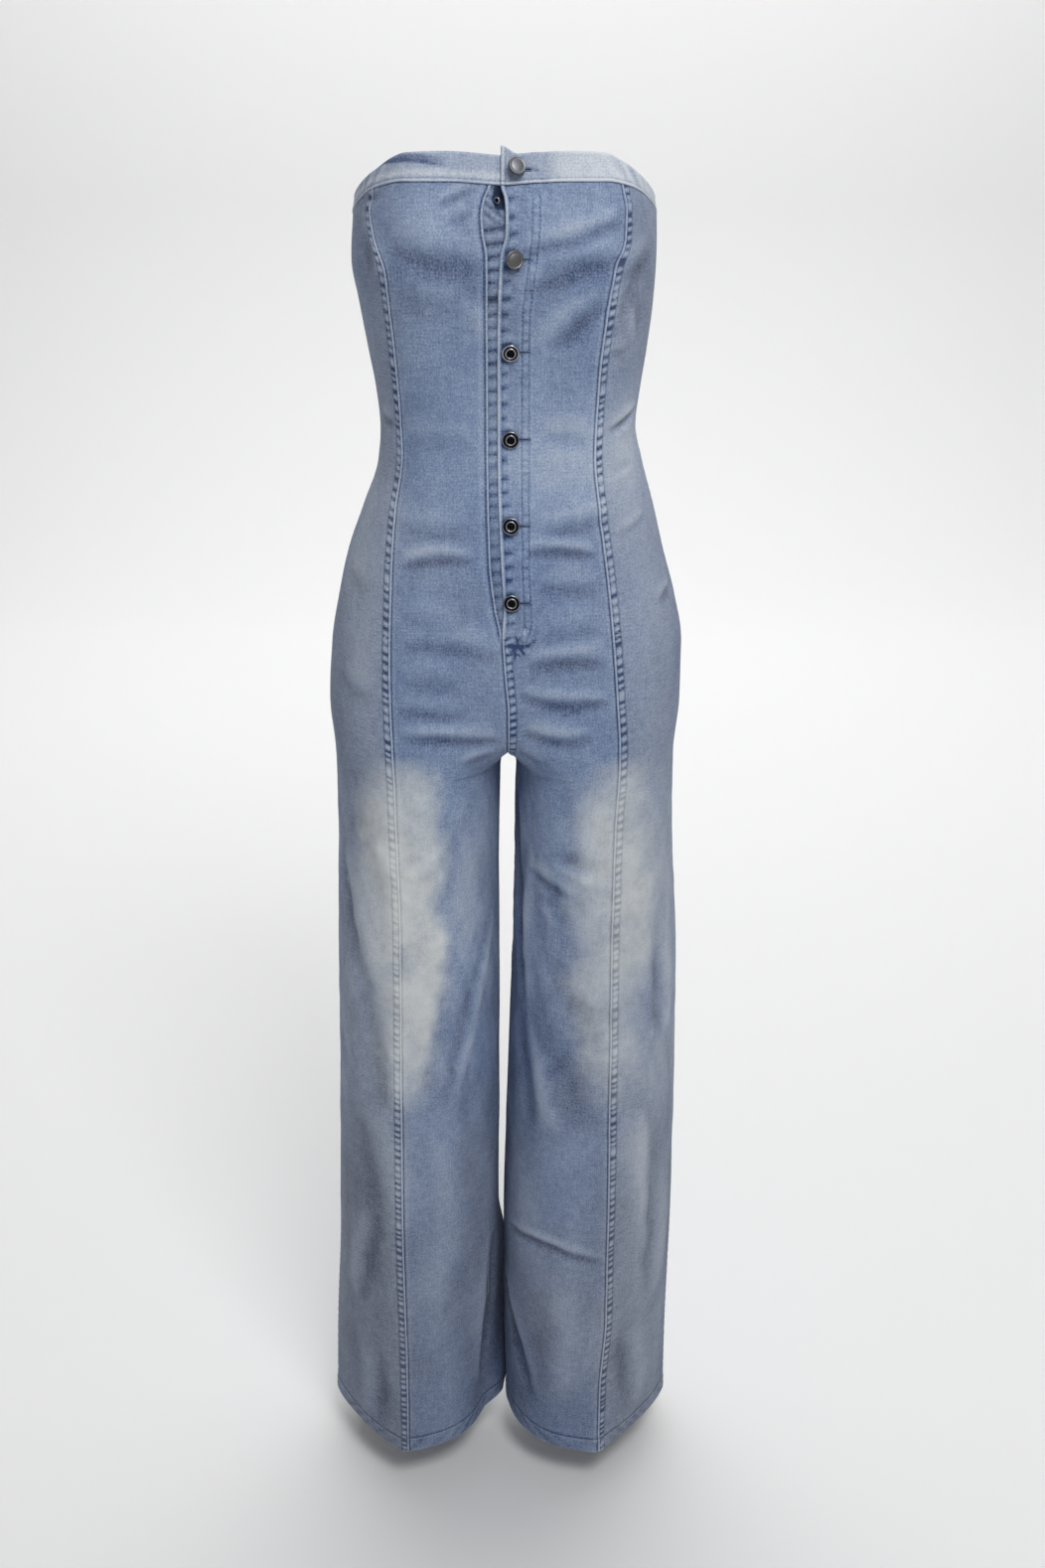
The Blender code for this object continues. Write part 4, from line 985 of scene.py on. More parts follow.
# Each panel's name, face and side, its two seams, how their edges look, and its columns' steps.
PANELS = (
    ("front_centre_right", FRONT, RIGHT, ("join", "princess"), (FOLD_PLAN, ((felled_under, 2),)),
     (EDGE_STEPS, FAR_STEPS, 22)),
    ("front_centre_left", FRONT, LEFT, ("edge", "princess"), (PLACKET_PLAN, ((felled_under, 3),)),
     (PLACKET_STEPS, FAR_STEPS, 18)),
    ("front_side_right", FRONT, RIGHT, ("princess", "side"), (((felled_over, 2),), ((plain_seam, 1),)),
     (EDGE_STEPS, FAR_STEPS, 16)),
    ("front_side_left", FRONT, LEFT, ("princess", "side"), (((felled_over, 3),), ((plain_seam, 2),)),
     (EDGE_STEPS, FAR_STEPS, 16)),
    ("back_right", BACK, RIGHT, ("centre", "side"), (REAR_UNDER_PLAN, ((plain_seam, 1),)),
     (EDGE_STEPS[:10], FAR_STEPS, 36)),
    ("back_left", BACK, LEFT, ("centre", "side"), (REAR_OVER_PLAN, ((plain_seam, 2),)),
     (EDGE_STEPS, FAR_STEPS, 36)),
)
panels = []
for name, *facts in PANELS:
    special = {}
    if name == "front_centre_left":
        special = {"keep": (1, 1), "lift": placket_lift, "extra": placket_extra, "holes": BUTTONS[1:]}
    panels.append(build_panel("cloth_" + name, *facts, rows=ROWS, **special))
stand_rows = np.concatenate((ROWS[ROWS > STAND_FOOT + 0.0006], [STAND_FOOT]))
stand = build_panel("cloth_button_stand", FRONT, LEFT, ("join", "stand_end"), NO_SEAM,
                    (PLACKET_STEPS[:14], EDGE_STEPS[:4], 6), rows=stand_rows, keep=(2, 2), extra=stand_extra)


# ---------------------------------------------------------------- band

def build_band(name, side):
    """Half of the band, from the centre front round to the centre back.  The left half laps over."""
    over = side == LEFT
    steps = 150
    front_run = np.concatenate((np.linspace(0, 0.2, 60)[:-1], np.linspace(0.2, 1, steps)))
    runs = {FRONT: front_run, BACK: np.linspace(1, 0, int(steps * 1.1))[1:]}
    starts = {FRONT: float(opening("edge", 0.0)) if over else -STAND_INNER_END, BACK: 0.0}
    blocks = []
    for face in (FRONT, BACK):
        laps = over and face == FRONT
        start = starts[face] + GAP / 2
        z = np.zeros((len(runs[face]), len(BAND_HEIGHTS)))
        for _ in range(RIM_PASSES):
            reach = start + (length(face, side, z) - start) * runs[face][:, None]
            place = rim_place(face, side, reach, z)
            seam = rim_height("seam", place) + GAP / 2
            top = rim_height("top", place)
            if laps:
                top = top + BAND_CORNER_RISE * (1 - smooth((reach - opening("edge", z)) / BAND_CORNER_LENGTH))
            z = seam + (top - seam) * BAND_HEIGHTS
        if laps:
            near_hole = smooth((0.030 - np.abs(reach[:, 0])) / 0.006)
            for row, way in ((SLIT_ROW, -1), (SLIT_ROW + 1, 1)):
                z[:, row] += near_hole * (BUTTONS[0][0] + way * HOLE_HALF - z[:, row])
            ways = np.where(np.arange(len(BAND_HEIGHTS)) <= SLIT_ROW, -1, 1)
            z = z + opened(z - BUTTONS[0][0], reach - BUTTONS[0][1], ways)
        at = (face, side, reach, z)
        blocks.append((spot(*at), normals(*at), reach, z, crease_place(*at),
                       (z - seam) / MM, (top - z) / MM, 0 * z + (face == FRONT)))
    base, normal, reach, z, c, low, high, front = (np.concatenate(parts) for parts in zip(*blocks))
    run = run_along(base[:, 0])[:, None] / MM + 0 * z
    swell = lumps(run, 7.5, 4)
    long_swell = noise(run / 34, low / 30, 5)
    deep = (bumps(low, (0.55, 1.1, 0.9), (-0.45, 2.7, 0.6)) - 0.4 * smooth(1 - low / 0.4)
            + 0.16 * (swell - 0.6) * bump((low - 4) / 3) - 0.5 * smooth(1 - high / 0.9)
            + 0.30 * bump((high - 2.0) / 1.3) + 0.28 * long_swell * smooth(low / 6) * smooth(high / 4))
    # Painted light on the folded lower edge and along the top edge, partly their wear, painted shade in the
    # stitch groove and pucker dips, and the left half's front painted paler on the side the key light comes
    # from.
    crisp = 0.75 + 0.35 * noise(run / 23, 0.5, 3) + 0.35 * front * over
    tone = (1.1 * crisp * bump((low - 1.2) / 0.8) - 0.75 * bump((low - 2.7) / 0.6)
            + 0.45 * (swell - 0.75) * bump((low - 2.6) / 2) + 0.35 * bump((high - 0.8) / 1.1)
            + 0.14 * long_swell + front * over * smooth((reach - 0.028) / 0.02))
    # Small slanted folds near the front, with painted light and shade across them.
    pulls = bump((run - (118 if over else 150)) / 26) * front * smooth(low / 4) * smooth(high / 3)
    slanted = np.sin((run + 0.9 * low) / 2.6 + 1.5 * noise(run / 9, 0.5, 2))
    deep = deep + 0.35 * pulls * slanted
    tone = tone + 0.45 * pulls * (slanted - 0.3)
    lift = BAND_PROUD + 0 * z
    cells = []
    if over:
        lift = lift + (BAND_WALL + LAP_GAP) * front * (
            1 - smooth((reach - PLACKET_FLAT) / (PLACKET_RAMP - PLACKET_FLAT)))
        e = (reach - opening("edge", z)) / MM
        at_end = front * (reach < 0.05)
        deep = deep + at_end * (bumps(e, (0.6, 1.4, 1.1), (-0.3, 3.4, 0.7)) - 0.5 * smooth(1 - e / 0.5))
        x, y = (reach - BUTTONS[0][1]) / MM, (z - BUTTONS[0][0]) / MM
        # Painted shade along the slit and painted shadow of the button below it and towards the centre front;
        # painted light on the rolled end and shade in its stitch groove.
        slit = bump(y) * smooth((x - 2) / 3) * smooth((21 - x) / 1.5) * at_end
        deep = deep - 0.8 * slit
        tone = (tone + at_end * bumps(e, (0.8, 1.4, 1.2), (-0.5, 3.6, 0.8)) - 1.1 * slit
                - 0.6 * bump(np.hypot(x + 1, y + 2) / 7.5) * at_end)
        reach_at = reach[:len(front_run), SLIT_ROW]
        row = len(BAND_HEIGHTS) - 2 - SLIT_ROW
        near, far = (nearest(reach_at, at) for at in (BUTTONS[0][1] + HOLE_START, HOLE_END))
        cells.append((row, row + 1, near, far))
    else:
        # Painted shade along the pressed fold and on the strip between it and the top edge, and a paler strip a
        # little above the seam.
        away, share = from_line(np.array(BAND_FOLD) * MM, c, z)
        away = away / MM
        taper = smooth(share / 0.12) * smooth((1 - share) / 0.30) * front
        deep = deep + taper * bumps(away, (-0.9, 0, 1.3), (0.5, 3.0, 2.0))
        fold = taper * smooth(away + 0.5) * smooth((7.5 - away) / 3)
        tone = tone + 0.75 * bump((low - 6.5) / 3.0) * front - 1.2 * taper * bump(away / 1.2) - 1.15 * fold

    def hung(grid):
        """The grid with its rows from the top edge down, each running from the centre front."""
        return grid[:, ::-1].swapaxes(0, 1)

    outer = hung(base + normal * (deep * MM + lift)[..., None])
    values = {"fade": 0 * z, "tone": tone, "grey": 0.40 + 0.25 * noise(c / 0.05, z / 0.05, 2)}
    values = {label: hung(value) for label, value in values.items()}
    CLOTH[name] = {"outer": outer, "normal": hung(normal), "low": hung(low)}
    keep = (1, 1) if over else (2, 2)
    return shell(name, outer, hung(normal), BAND_WALL, keep, values, hung(np.stack((c, z), axis=-1)), cells)


bands = [build_band("cloth_band_right", RIGHT), build_band("cloth_band_left", LEFT)]


# ---------------------------------------------------------------- materials

def srgb(*levels):
    """A linear colour from red, green and blue levels of 0 to 255."""
    shares = [level / 255 for level in levels]
    return tuple(v / 12.92 if v <= 0.04045 else ((v + 0.055) / 1.055) ** 2.4 for v in shares) + (1.0,)


class Graph:
    """Builds a material's nodes.  A value given to a socket is a number, a colour or another node's output."""

    def __init__(self, name):
        self.material = bpy.data.materials.new(name)
        self.material.use_nodes = True
        self.tree = self.material.node_tree
        self.tree.nodes.clear()

    def add(self, kind, values=None, **settings):
        node = self.tree.nodes.new(kind)
        for key, value in settings.items():
            setattr(node, key, value)
        for key, value in (values or {}).items():
            if isinstance(value, bpy.types.NodeSocket):
                self.tree.links.new(value, node.inputs[key])
            else:
                node.inputs[key].default_value = value
        return node

    def math(self, operation, first, second, clamp=False):
        node = self.add("ShaderNodeMath", {0: first, 1: second}, operation=operation, use_clamp=clamp)
        return node.outputs[0]

    def times(self, first, second, clamp=False):
        return self.math("MULTIPLY", first, second, clamp)

    def total(self, *values, clamp=False):
        so_far = values[0]
        for value in values[1:-1]:
            so_far = self.math("ADD", so_far, value)
        return self.math("ADD", so_far, values[-1], clamp)

    def mix(self, factor, first, second):
        values = {0: factor, 6: first, 7: second}
        node = self.add("ShaderNodeMix", values, data_type="RGBA", blend_type="MIX", clamp_factor=True)
        return node.outputs[2]

    def finish(self, values):
        shader = self.add("ShaderNodeBsdfPrincipled", values)
        self.add("ShaderNodeOutputMaterial", {0: shader.outputs[0]}).is_active_output = True
        return self.material


# The denim's textures: scale across and down the cloth, detail, roughness, and its weight in the wash.
TEXTURES = {
    "cloud": (26, 18, 3.0, 0.55, 0.20),
    "mottle": (150, 120, 3.0, 0.6, 0.23),
    "grain": (620, 520, 2.0, 0.6, 0.62),
    "slub": (760, 55, 2.0, 0.6, 0.22),
    "weft": (60, 820, 1.0, 0.5, 0.20),
}
TWILL_WEIGHT = 0.07
WORN_GREY = srgb(150, 150, 145)
# The faded patch's colour where the painted shade of its creases falls.
WORN_IN_PAINTED_SHADE = srgb(150, 158, 168)
REVERSE = srgb(166, 176, 192)


def denim(name, deep, middle, pale, bleached, lightness):
    """Washed denim: a twill of pale and blue yarn, slubs down the cloth, a mottled wash and worn ridges, with
    painted shade and light from the tone and grey values.
    """
    graph = Graph(name)
    place = graph.add("ShaderNodeUVMap", uv_map="weave").outputs[0]
    fade, tone, grey, inside = (graph.add("ShaderNodeAttribute", attribute_name=label).outputs["Fac"]
                                for label in ("fade", "tone", "grey", "inside"))

    def centred(value, weight):
        return graph.times(graph.math("SUBTRACT", value, 0.5), weight)

    made = {}
    for label, (scale_across, scale_down, detail, rough, _) in TEXTURES.items():
        mapping = graph.add("ShaderNodeMapping", {0: place, 3: (scale_across, scale_down, 1.0)}).outputs[0]
        values = {"Vector": mapping, "Scale": 1.0, "Detail": detail, "Roughness": rough}
        made[label] = graph.add("ShaderNodeTexNoise", values, noise_dimensions="2D").outputs[0]
    mapping = graph.add("ShaderNodeMapping", {0: place, 2: (0, 0, math.radians(28)), 3: (1, 1, 1)}).outputs[0]
    values = {"Vector": mapping, "Scale": 310.0, "Distortion": 0.6, "Detail": 1.0, "Detail Scale": 3.0}
    twill = graph.add("ShaderNodeTexWave", values, wave_type="BANDS", bands_direction="X").outputs["Fac"]
    # The tone, partly wear and partly painted shade and light, moves the blue deeper or paler.
    wash = graph.total(
        *(centred(made[label], facts[-1]) for label, facts in TEXTURES.items()), centred(twill, TWILL_WEIGHT),
        graph.times(tone, 0.36), lightness, clamp=True)
    ramp = graph.add("ShaderNodeValToRGB", {0: wash})
    ramp.color_ramp.elements[0].position = 0.0
    ramp.color_ramp.elements[0].color = deep
    ramp.color_ramp.elements[1].position = 1.0
    ramp.color_ramp.elements[1].color = pale
    ramp.color_ramp.elements.new(0.5).color = middle
    colour = ramp.outputs[0]
    values = {"Hue": 0.5, "Saturation": 0.52, "Value": 0.985, "Color": colour}
    dull = graph.add("ShaderNodeHueSaturation", values).outputs[0]
    colour = graph.mix(graph.times(grey, 0.75), colour, dull)
    colour = graph.mix(graph.times(grey, 0.11), colour, WORN_GREY)
    bleach = graph.total(
        fade, graph.times(fade, centred(made["mottle"], 0.5)), graph.times(fade, centred(made["grain"], 0.5)),
        clamp=True)
    # Where the tone is low, the faded patch turns to its colour in painted shade.
    paled = graph.mix(graph.total(graph.times(tone, 0.18), 0.82, clamp=True), WORN_IN_PAINTED_SHADE, bleached)
    colour = graph.mix(graph.times(bleach, 0.97), colour, paled)
    colour = graph.mix(graph.times(inside, 0.75), colour, REVERSE)
    height = graph.total(graph.times(twill, 0.5), graph.times(made["grain"], 0.8),
                         graph.times(made["slub"], 0.6), graph.times(made["mottle"], 1.2))
    relief = graph.add("ShaderNodeBump", {"Height": height, "Strength": 0.5, "Distance": 0.00030})
    return graph.finish({"Base Color": colour, "Normal": relief.outputs[0], "Roughness": 0.93,
                         "Specular IOR Level": 0.10, "Sheen Weight": 0.03, "Sheen Roughness": 0.6})


def simple(name, colour, dark, roughness, metallic=0.0, spots=0.0, scale=900.0, relief=0.0):
    """A plain material with darker spots and a slight relief of the same noise."""
    graph = Graph(name)
    place = graph.add("ShaderNodeTexCoord").outputs["Object"]
    values = {"Vector": place, "Scale": scale, "Detail": 4.0, "Roughness": 0.6}
    texture = graph.add("ShaderNodeTexNoise", values).outputs[0]
    values = {
        "Base Color": graph.mix(graph.times(texture, spots, clamp=True), srgb(*colour), srgb(*dark)),
        "Roughness": graph.total(graph.times(texture, 0.18), roughness - 0.09),
        "Metallic": metallic,
    }
    if relief:
        bumped = graph.add("ShaderNodeBump", {"Height": texture, "Strength": 0.6, "Distance": relief})
        values["Normal"] = bumped.outputs[0]
    return graph.finish(values)


CLOTH_DENIM = denim("denim_washed", srgb(48, 70, 114), srgb(138, 157, 190), srgb(202, 212, 226),
                    srgb(229, 233, 233), 0.48)
# The band's denim is a paler copy of the cloth's: painted light for the band at the top, where the light from
# above falls brightest.
BAND_DENIM = denim("denim_band_washed", srgb(74, 98, 142), srgb(156, 171, 197), srgb(216, 223, 232),
                   srgb(214, 216, 212), 0.54)
# The stand's denim is a darker copy of the cloth's: painted shade for the strip set back behind the placket's
# edge, with the deeper blue it keeps unfaded under the placket.
STAND_DENIM = denim("denim_stand_washed", srgb(34, 50, 84), srgb(128, 146, 178), srgb(196, 206, 220),
                    srgb(206, 210, 212), 0.50)
THREAD = simple("thread_tonal", (168, 180, 200), (110, 128, 162), 0.8, 0.0, 1.0, 1400.0, 0.00005)
THREAD_DARK = simple("thread_buttonhole", (120, 136, 168), (80, 98, 134), 0.8, 0.0, 1.0, 1400.0, 0.00005)
SILVER = simple("button_silver_metal", (128, 130, 135), (118, 120, 126), 0.48, 1.0, 0.3, 260.0, 0.00002)
PEWTER = simple("button_pewter_metal", (140, 139, 140), (92, 93, 96), 0.40, 1.0, 0.5, 240.0, 0.00003)
GUNMETAL = simple("button_gunmetal", (52, 54, 60), (32, 33, 38), 0.34, 1.0, 0.6, 300.0, 0.00003)
RING_METAL = simple("button_ring_metal", (176, 178, 184), (140, 141, 146), 0.30, 1.0, 0.25, 420.0, 0.00001)
DARK_METAL = simple("button_groove_metal", (26, 27, 31), (16, 17, 20), 0.5, 1.0, 0.5, 300.0)
for made in panels:
    made.data.materials.append(CLOTH_DENIM)
stand.data.materials.append(STAND_DENIM)
for made in bands:
    made.data.materials.append(BAND_DENIM)


# ---------------------------------------------------------------- stitches

STITCH_LONG = 2.3 * MM
STITCH_THICK = 0.26
STITCH_SUNK = 0.10
STITCH_PITCH = 3.1 * MM
STITCH_POINTS = np.array((
    (-1, 0, 0), (-0.62, -0.75, 0), (-0.62, 0.75, 0), (-0.62, 0, 0.85), (0.62, -0.75, 0), (0.62, 0.75, 0),
    (0.62, 0, 0.85), (1, 0, 0),
), float)
STITCH_FACES = np.array((
    (0, 1, 3), (0, 3, 2), (1, 4, 6), (1, 6, 3), (3, 6, 5), (3, 5, 2), (4, 7, 6), (6, 7, 5), (0, 2, 1),
    (1, 2, 5), (1, 5, 4), (4, 5, 7),
), int)


def stitch_mesh(name, lines):
    """Short rounded threads along lines on the cloth: each line is its points and normals."""
    points, faces = [], []
    for line, out in lines:
        run = run_along(line)
        count = int(run[-1] / STITCH_PITCH)
        places = (np.arange(count) + 0.5) * run[-1] / count

        def at(values, shift=0.0):
            return np.stack([np.interp(places + shift, run, values[:, k]) for k in range(3)], axis=1)

        along = at(line, 0.4 * MM) - at(line, -0.4 * MM)
        along /= np.linalg.norm(along, axis=1, keepdims=True) + 1e-12
        up = at(out)
        up -= along * np.sum(up * along, axis=1, keepdims=True)
        up /= np.linalg.norm(up, axis=1, keepdims=True) + 1e-12
        across = np.cross(up, along)
        block = (at(line)[:, None] + along[:, None] * STITCH_POINTS[:, 0:1] * (0.5 * STITCH_LONG)
                 + across[:, None] * STITCH_POINTS[:, 1:2] * (STITCH_THICK * MM)
                 + up[:, None] * (STITCH_POINTS[:, 2:3] * STITCH_THICK * 1.3 - STITCH_SUNK) * MM)
        firsts = sum(len(part) for part in points) + len(STITCH_POINTS) * np.arange(count)
        points.append(block.reshape(-1, 3))
        faces.append((STITCH_FACES + firsts[:, None, None]).reshape(-1, 3))
    mesh = mesh_of(name, np.concatenate(points), np.concatenate(faces))
    mesh.shade_smooth()
    mesh.materials.append(THREAD)
    return new_object(name, mesh)


def sample(grid, wanted, values, cut):
    """The point and normal where values along a cut of a cloth's grid come to the wanted one."""
    return [[np.interp(wanted, values, grid[label][cut][:, k]) for k in range(3)]
            for label in ("outer", "normal")]


def line_of(samples):
    return np.array(samples).swapaxes(0, 1)


def beside_edge(name, distance, z_from=1.0, z_to=-9.0):
    """The line on a panel at a distance in millimetres from its near edge, between two heights."""
    grid = CLOTH[name]
    rows = [i for i, z in enumerate(grid["z"][:, 0]) if z_to <= z <= z_from]
    return line_of([sample(grid, distance, grid["near"][i], i) for i in rows])


def above_hem(name, height):
    """The line on a panel at a height in millimetres above the hem."""
    grid = CLOTH[name]
    columns = range(grid["z"].shape[1])
    return line_of([sample(grid, -HEM - height * MM, -grid["z"][:, j], (slice(None), j)) for j in columns])


def above_band_seam(name, height):
    """The line on a band at a height in millimetres above its seam."""
    grid = CLOTH[name]
    columns = range(grid["low"].shape[1])
    upward = slice(None, None, -1)
    return line_of([sample(grid, height, grid["low"][upward, j], (upward, j)) for j in columns])


def beside_fly(offset):
    """The line at a distance in millimetres from the fly strip's middle line."""
    middle = np.array(FLY, float)
    dense = np.concatenate([np.linspace(a, b, 12)[:-1] for a, b in zip(middle, middle[1:])] + [middle[-1:]])
    steps = np.gradient(dense, axis=0)
    steps /= np.linalg.norm(steps, axis=1, keepdims=True)
    beside = (dense + np.stack((steps[:, 1], -steps[:, 0]), axis=1) * offset) * MM
    grid = CLOTH["cloth_front_centre_left"]
    rows = [nearest(grid["z"][:, 20], height) for height in beside[:, 1]]
    line = line_of([sample(grid, reach, grid["reach"][i], i) for reach, i in zip(beside[:, 0], rows)])
    line[0, :, 2] = beside[:, 1]
    return line


FELLED_STITCHES = (2.4, 8.0)
FORK_END = CROTCH + 0.004
front_lines = []
for name in ("cloth_front_side_right", "cloth_front_side_left"):
    front_lines += [beside_edge(name, distance) for distance in FELLED_STITCHES]
front_lines += [
    beside_edge("cloth_front_centre_left", 2.4, STAND_FOOT - 0.004, FORK_END),
    beside_edge("cloth_front_centre_left", 8.0, STAND_FOOT - 0.012, FORK_END),
    beside_edge("cloth_front_centre_right", 2.8, 0.0, STAND_FOOT),
    beside_fly(3.0),
    beside_fly(-3.0),
]
back_lines = [beside_edge("cloth_back_left", distance, 0.1, FORK_END) for distance in FELLED_STITCHES]
back_lines += [above_band_seam(name, 2.8) for name in ("cloth_band_right", "cloth_band_left")]
hem_lines = [above_hem(made.name, 18.6) for made in panels[2:4] + panels[:2] + panels[4:]]
stitches = [stitch_mesh("stitches_front", front_lines), stitch_mesh("stitches_back_and_band", back_lines),
            stitch_mesh("stitches_hems", hem_lines)]


# ---------------------------------------------------------------- buttons and the stud

# Cap profiles from under the rim to the middle: radius and height as shares of the cap's, and which metal.
PLAIN_CAP = (
    (0.84, 0, 0), (0.96, 0.10, 0), (1, 0.30, 0), (0.985, 0.55, 0), (0.93, 0.78, 1), (0.87, 0.84, 1),
    (0.82, 0.78, 1), (0.78, 0.72, 2), (0.60, 0.86, 2), (0.40, 0.95, 2), (0.20, 1, 2), (0, 1.01, 2),
)
RINGED_CAP = (
    (0.84, 0, 0), (0.96, 0.10, 0), (1, 0.30, 0), (0.985, 0.60, 1), (0.95, 0.76, 1), (0.90, 0.82, 1),
    (0.86, 0.80, 3), (0.80, 0.74, 3), (0.77, 0.60, 2), (0.66, 0.60, 2), (0.62, 0.84, 2), (0.585, 0.98, 1),
    (0.53, 1.04, 1),
    (0.475, 0.98, 1), (0.44, 0.74, 2), (0.38, 0.60, 2), (0.20, 0.62, 2), (0.10, 0.68, 2), (0, 0.70, 2),
)
STUD_CAP = (
    (0, 0, 0), (0.9, 0, 0), (1, 0.3, 0), (0.97, 0.65, 1), (0.86, 0.9, 1), (0.66, 0.98, 1), (0.5, 0.8, 0),
    (0.42, 0.5, 2), (0.2, 0.55, 2), (0, 0.6, 2),
)
CAP_RADIUS = 7.5 * MM
CAP_HEIGHT = 2.6 * MM
POST_RADIUS = 1.8 * MM
POST_RISE = 0.6 * MM
STUD_SIZE = (2.8 * MM, 1.2 * MM)
# Each button's cap, its metals, and which of them its inner rim (3 in the profile) is.  Button 1's side is the
# near-black groove metal: painted shade for the dark crescent on its side turned from the key light.
BUTTON_FINISHES = (
    (PLAIN_CAP, (DARK_METAL, SILVER, SILVER), 0), (PLAIN_CAP, (PEWTER, PEWTER, PEWTER), 0),
    (RINGED_CAP, (SILVER, RING_METAL, DARK_METAL), 1),
) + 3 * ((RINGED_CAP, (GUNMETAL, RING_METAL, DARK_METAL), 0),)


def facing_frame(x, z, lift, lean_left=0.0, lean_up=0.0):
    """A frame on the front, its own Z out of the cloth, leant by degrees to the garment's left and upwards."""
    step = 0.018
    side = LEFT if x >= 0 else RIGHT
    low, high, here = (look(FRONT, side, np.array(abs(x)), np.array(z + dz)) for dz in (-step, step, 0.0))
    up = Vector(high - low).normalized()
    normal = Vector((1, 0, 0)).cross(up)
    made = Matrix((up.cross(normal), up, normal)).transposed().to_4x4()
    made.translation = Vector(here) + normal * lift
    leant = Matrix.Rotation(math.radians(lean_left), 4, "Y") @ Matrix.Rotation(-math.radians(lean_up), 4, "X")
    return made @ leant


def turned(name, rings, steps, materials):
    """A closed solid turned about Z from (radius, height, material number) points, the ends on the axis."""
    work = bmesh.new()
    turns = [2 * math.pi * i / steps for i in range(steps)]
    loops = []
    for radius, height, _ in rings:
        corners = [(radius * math.cos(turn), radius * math.sin(turn), height) for turn in turns]
        loops.append([work.verts.new(corner) for corner in (corners if radius else corners[:1])])
    for low, high, (_, _, metal) in zip(loops, loops[1:], rings[1:]):
        for i in range(steps):
            k = (i + 1) % steps
            if len(low) == 1:
                corners = (low[0], high[k], high[i])
            elif len(high) == 1:
                corners = (low[i], low[k], high[0])
            else:
                corners = (low[i], low[k], high[k], high[i])
            face = work.faces.new(corners)
            face.material_index = metal
            face.smooth = True
    bmesh.ops.recalc_face_normals(work, faces=work.faces)
    mesh = bpy.data.meshes.new(name)
    work.to_mesh(mesh)
    work.free()
    for material in materials:
        mesh.materials.append(material)
    mesh.set_sharp_from_angle(angle=math.radians(50))
    return new_object(name, mesh)


def button(number, place, finish):
    """A cap on a post that comes through the buttonhole and leans."""
    z, x, lean_left, lean_up = place
    cap, metals, rim = finish
    on_band = number == 1
    seat = BAND_PROUD if on_band else 0.0
    top = seat + (BAND_WALL if on_band else WALL) + LAP_GAP
    foot = 0.0 if on_band else -1.4 * MM
    lean = math.sin(math.radians(math.hypot(lean_left, lean_up)))
    under = top - seat + POST_RISE + CAP_RADIUS * lean
    profile = [(0, foot, 0), (POST_RADIUS, foot, 0), (POST_RADIUS, under, 0)]
    for radius, height, metal in cap:
        profile.append((CAP_RADIUS * radius, under + CAP_HEIGHT * height, rim if metal == 3 else metal))
    made = turned(f"detail_button_{number}", profile, 56, metals)
    made.matrix_world = facing_frame(x, z, seat + LAP_GAP + POST_RADIUS * lean, lean_left, lean_up)
    return made


buttons = [button(k + 1, place, finish) for k, (place, finish) in enumerate(zip(BUTTONS, BUTTON_FINISHES))]
stud_profile = [(radius * STUD_SIZE[0], height * STUD_SIZE[1], metal) for radius, height, metal in STUD_CAP]
stud = turned("detail_fly_stud", stud_profile, 40, (DARK_METAL, RING_METAL, DARK_METAL))
stud.matrix_world = facing_frame(*STUD_PLACE, 0.6 * MM, -34, -24)


# ---------------------------------------------------------------- buttonholes: a purl of thread round each slit

PURL_START = 2.6
PURL_HALF = 0.95
PURL_BAR = (0.30 * MM, 0.75 * MM, 0.34 * MM, 1)


def purl(name, place, top):
    """Close bars of thread round a slit, over the raised edge."""
    tail = (HOLE_END - place[1]) / MM
    straight = np.linspace(PURL_START, tail, 24)
    bars = [(x, PURL_HALF, 0.0) for x in straight]
    for turn in np.radians(np.linspace(80, -80, 7)):
        bars.append((tail + math.cos(turn), PURL_HALF * math.sin(turn), turn - 0.5 * math.pi))
    bars += [(x, -PURL_HALF, math.pi) for x in straight[::-1]]
    at_slit = facing_frame(place[1], place[0], 0.0)
    work = bmesh.new()
    for x, y, turn in bars:
        bar = bmesh.ops.create_icosphere(work, subdivisions=1, radius=1.0)["verts"]
        laid = at_slit @ Matrix.Translation((x * MM, y * MM, top)) @ Matrix.Rotation(turn, 4, "Z")
        bmesh.ops.transform(work, matrix=laid @ Matrix.Diagonal(PURL_BAR), verts=bar)
    for face in work.faces:
        face.smooth = True
    mesh = bpy.data.meshes.new(name)
    work.to_mesh(mesh)
    work.free()
    mesh.materials.append(THREAD_DARK)
    return new_object(name, mesh)


PURL_TOPS = [BAND_PROUD + BAND_WALL + 0.45 * MM] + 5 * [WALL + 0.60 * MM]
purls = [purl(f"buttonhole_thread_{k + 1}", *facts) for k, facts in enumerate(zip(BUTTONS, PURL_TOPS))]


# ---------------------------------------------------------------- what moves and what replaces what

STRETCHES = ("bodice", "hips", "leg", "hem")


def stands_for(made, slot, *nodes):
    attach(made, "root")
    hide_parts(*nodes)


for made in panels:
    stands_for(made, "denim", *[f"{made.name[len('cloth_'):]}_{stretch}" for stretch in STRETCHES])
stands_for(stand, "denim", "button_stand")
for made in bands:
    stands_for(made, "denim_band", made.name[len("cloth_"):])
for number, made in enumerate(buttons, start=1):
    stands_for(made, "button_silver" if number <= 2 else "button_metal", f"button_{number}")
stands_for(stud, "button_silver", "fly_stud")
for made in stitches + purls:
    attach(made, "root")


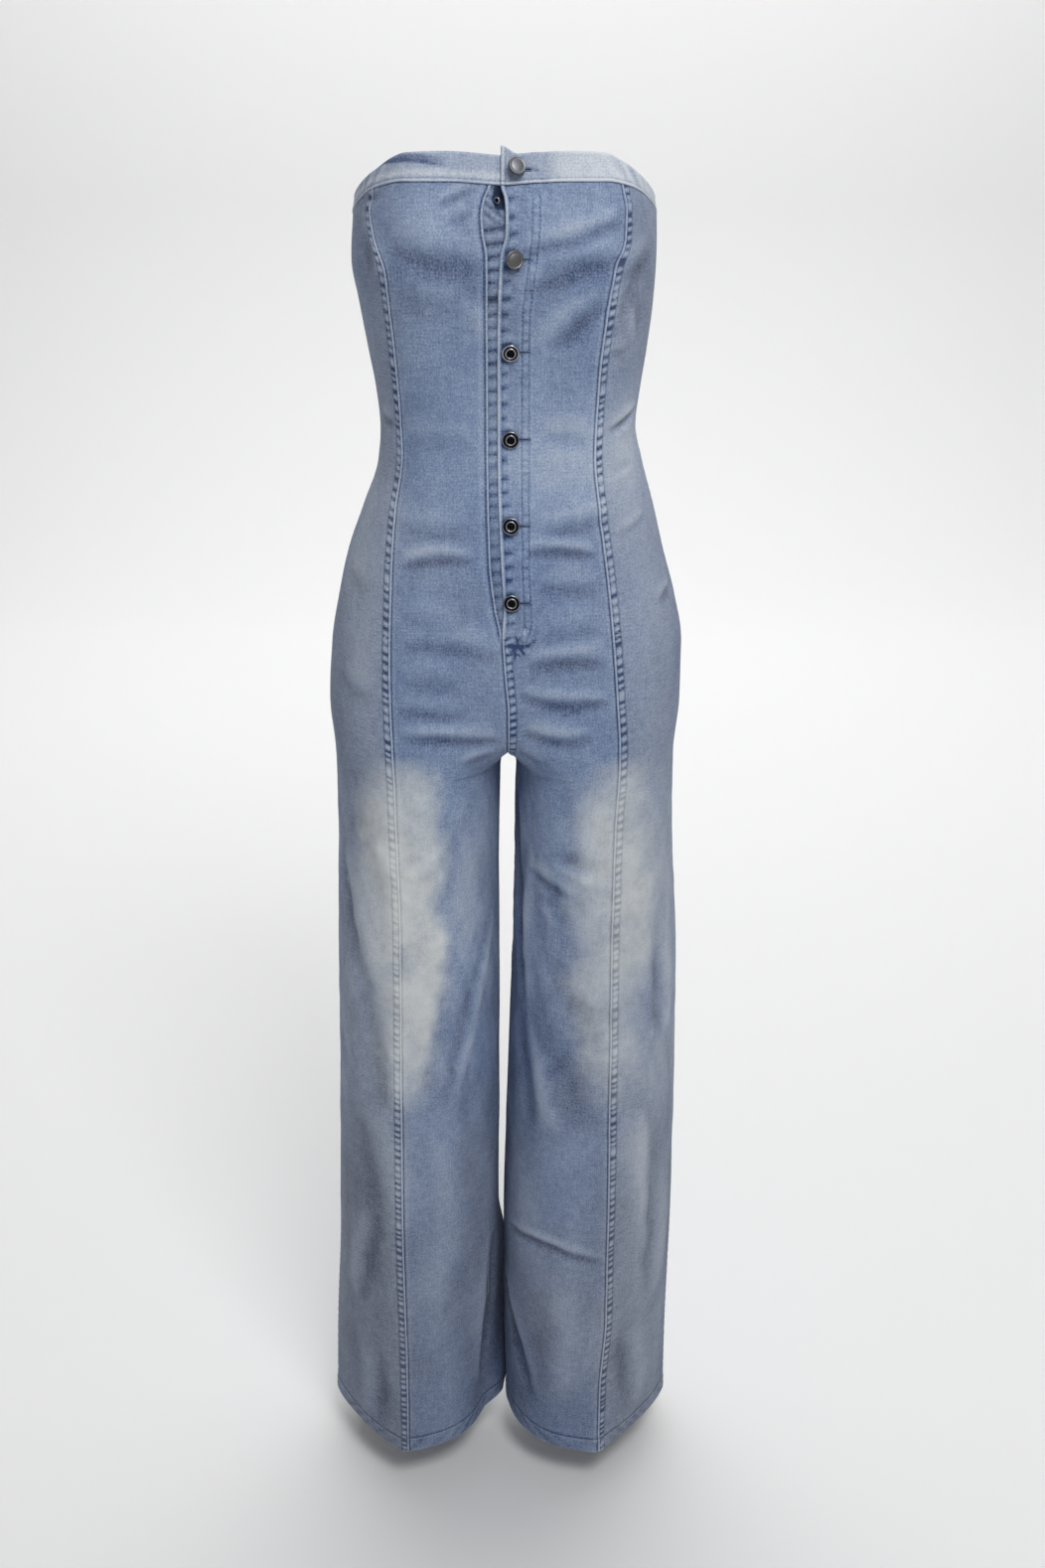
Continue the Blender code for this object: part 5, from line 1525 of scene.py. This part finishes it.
# ---------------------------------------------------------------- floor, light, camera

def stage_floor(steps=24):
    """A pale floor that curves up into a backdrop."""
    ground, turn, near, far, high, half_width = -1.3627, 1.2, -6.0, 3.2, 6.0, 9.0
    profile = [(near, ground)]
    for i in range(steps + 1):
        angle = 0.5 * math.pi * i / steps
        profile.append((far + turn * math.sin(angle), ground + turn * (1 - math.cos(angle))))
    profile.append((far + turn, high))
    count = len(profile)
    points = [(x, y, z) for x in (-half_width, half_width) for y, z in profile]
    faces = [(i, i + 1, count + i + 1, count + i) for i in range(count - 1)]
    mesh = bpy.data.meshes.new("floor")
    mesh.from_pydata(points, [], faces)
    mesh.shade_smooth()
    mesh.materials.append(simple("floor_pale", (247, 247, 247), (247, 247, 247), 0.9))
    new_object("floor", mesh)


def lamp(name, place, aim, size, power):
    data = bpy.data.lights.new(name, "AREA")
    data.shape = "RECTANGLE"
    data.size, data.size_y = size
    data.energy = power
    made = new_object(name, data)
    made.location = place
    made.rotation_euler = (Vector(aim) - Vector(place)).to_track_quat("-Z", "Y").to_euler()


stage_floor()
lamp("key", (0.48, -1.55, 1.30), (0, 0, -0.35), (0.8, 0.8), 28.0)
lamp("rear_overhead", (0.2, 2.3, 2.7), (0.2, 2.3, -1.36), (5.0, 3.8), 86)
lamp("backdrop", (0.0, 2.4, 2.8), (0.0, 4.4, 0.1), (5.0, 1.4), 42)
world = bpy.data.worlds.new("studio")
world.use_nodes = True
world.node_tree.nodes["Background"].inputs[0].default_value = (1.0, 1.0, 1.0, 1.0)
world.node_tree.nodes["Background"].inputs[1].default_value = 0.26
bpy.context.scene.world = world
bpy.context.scene.view_settings.view_transform = "Standard"

eye = bpy.data.cameras.new("camera")
eye.sensor_fit = "VERTICAL"
eye.sensor_height = 36.0
eye.sensor_width = 24.0
eye.lens = 37.414
eye.clip_start = 0.05
camera = new_object("camera", eye)
camera.location = (0.0135, -1.50, 0.0373)
camera.rotation_euler = (math.radians(90 - 21.7), 0, 0)
bpy.context.scene.camera = camera
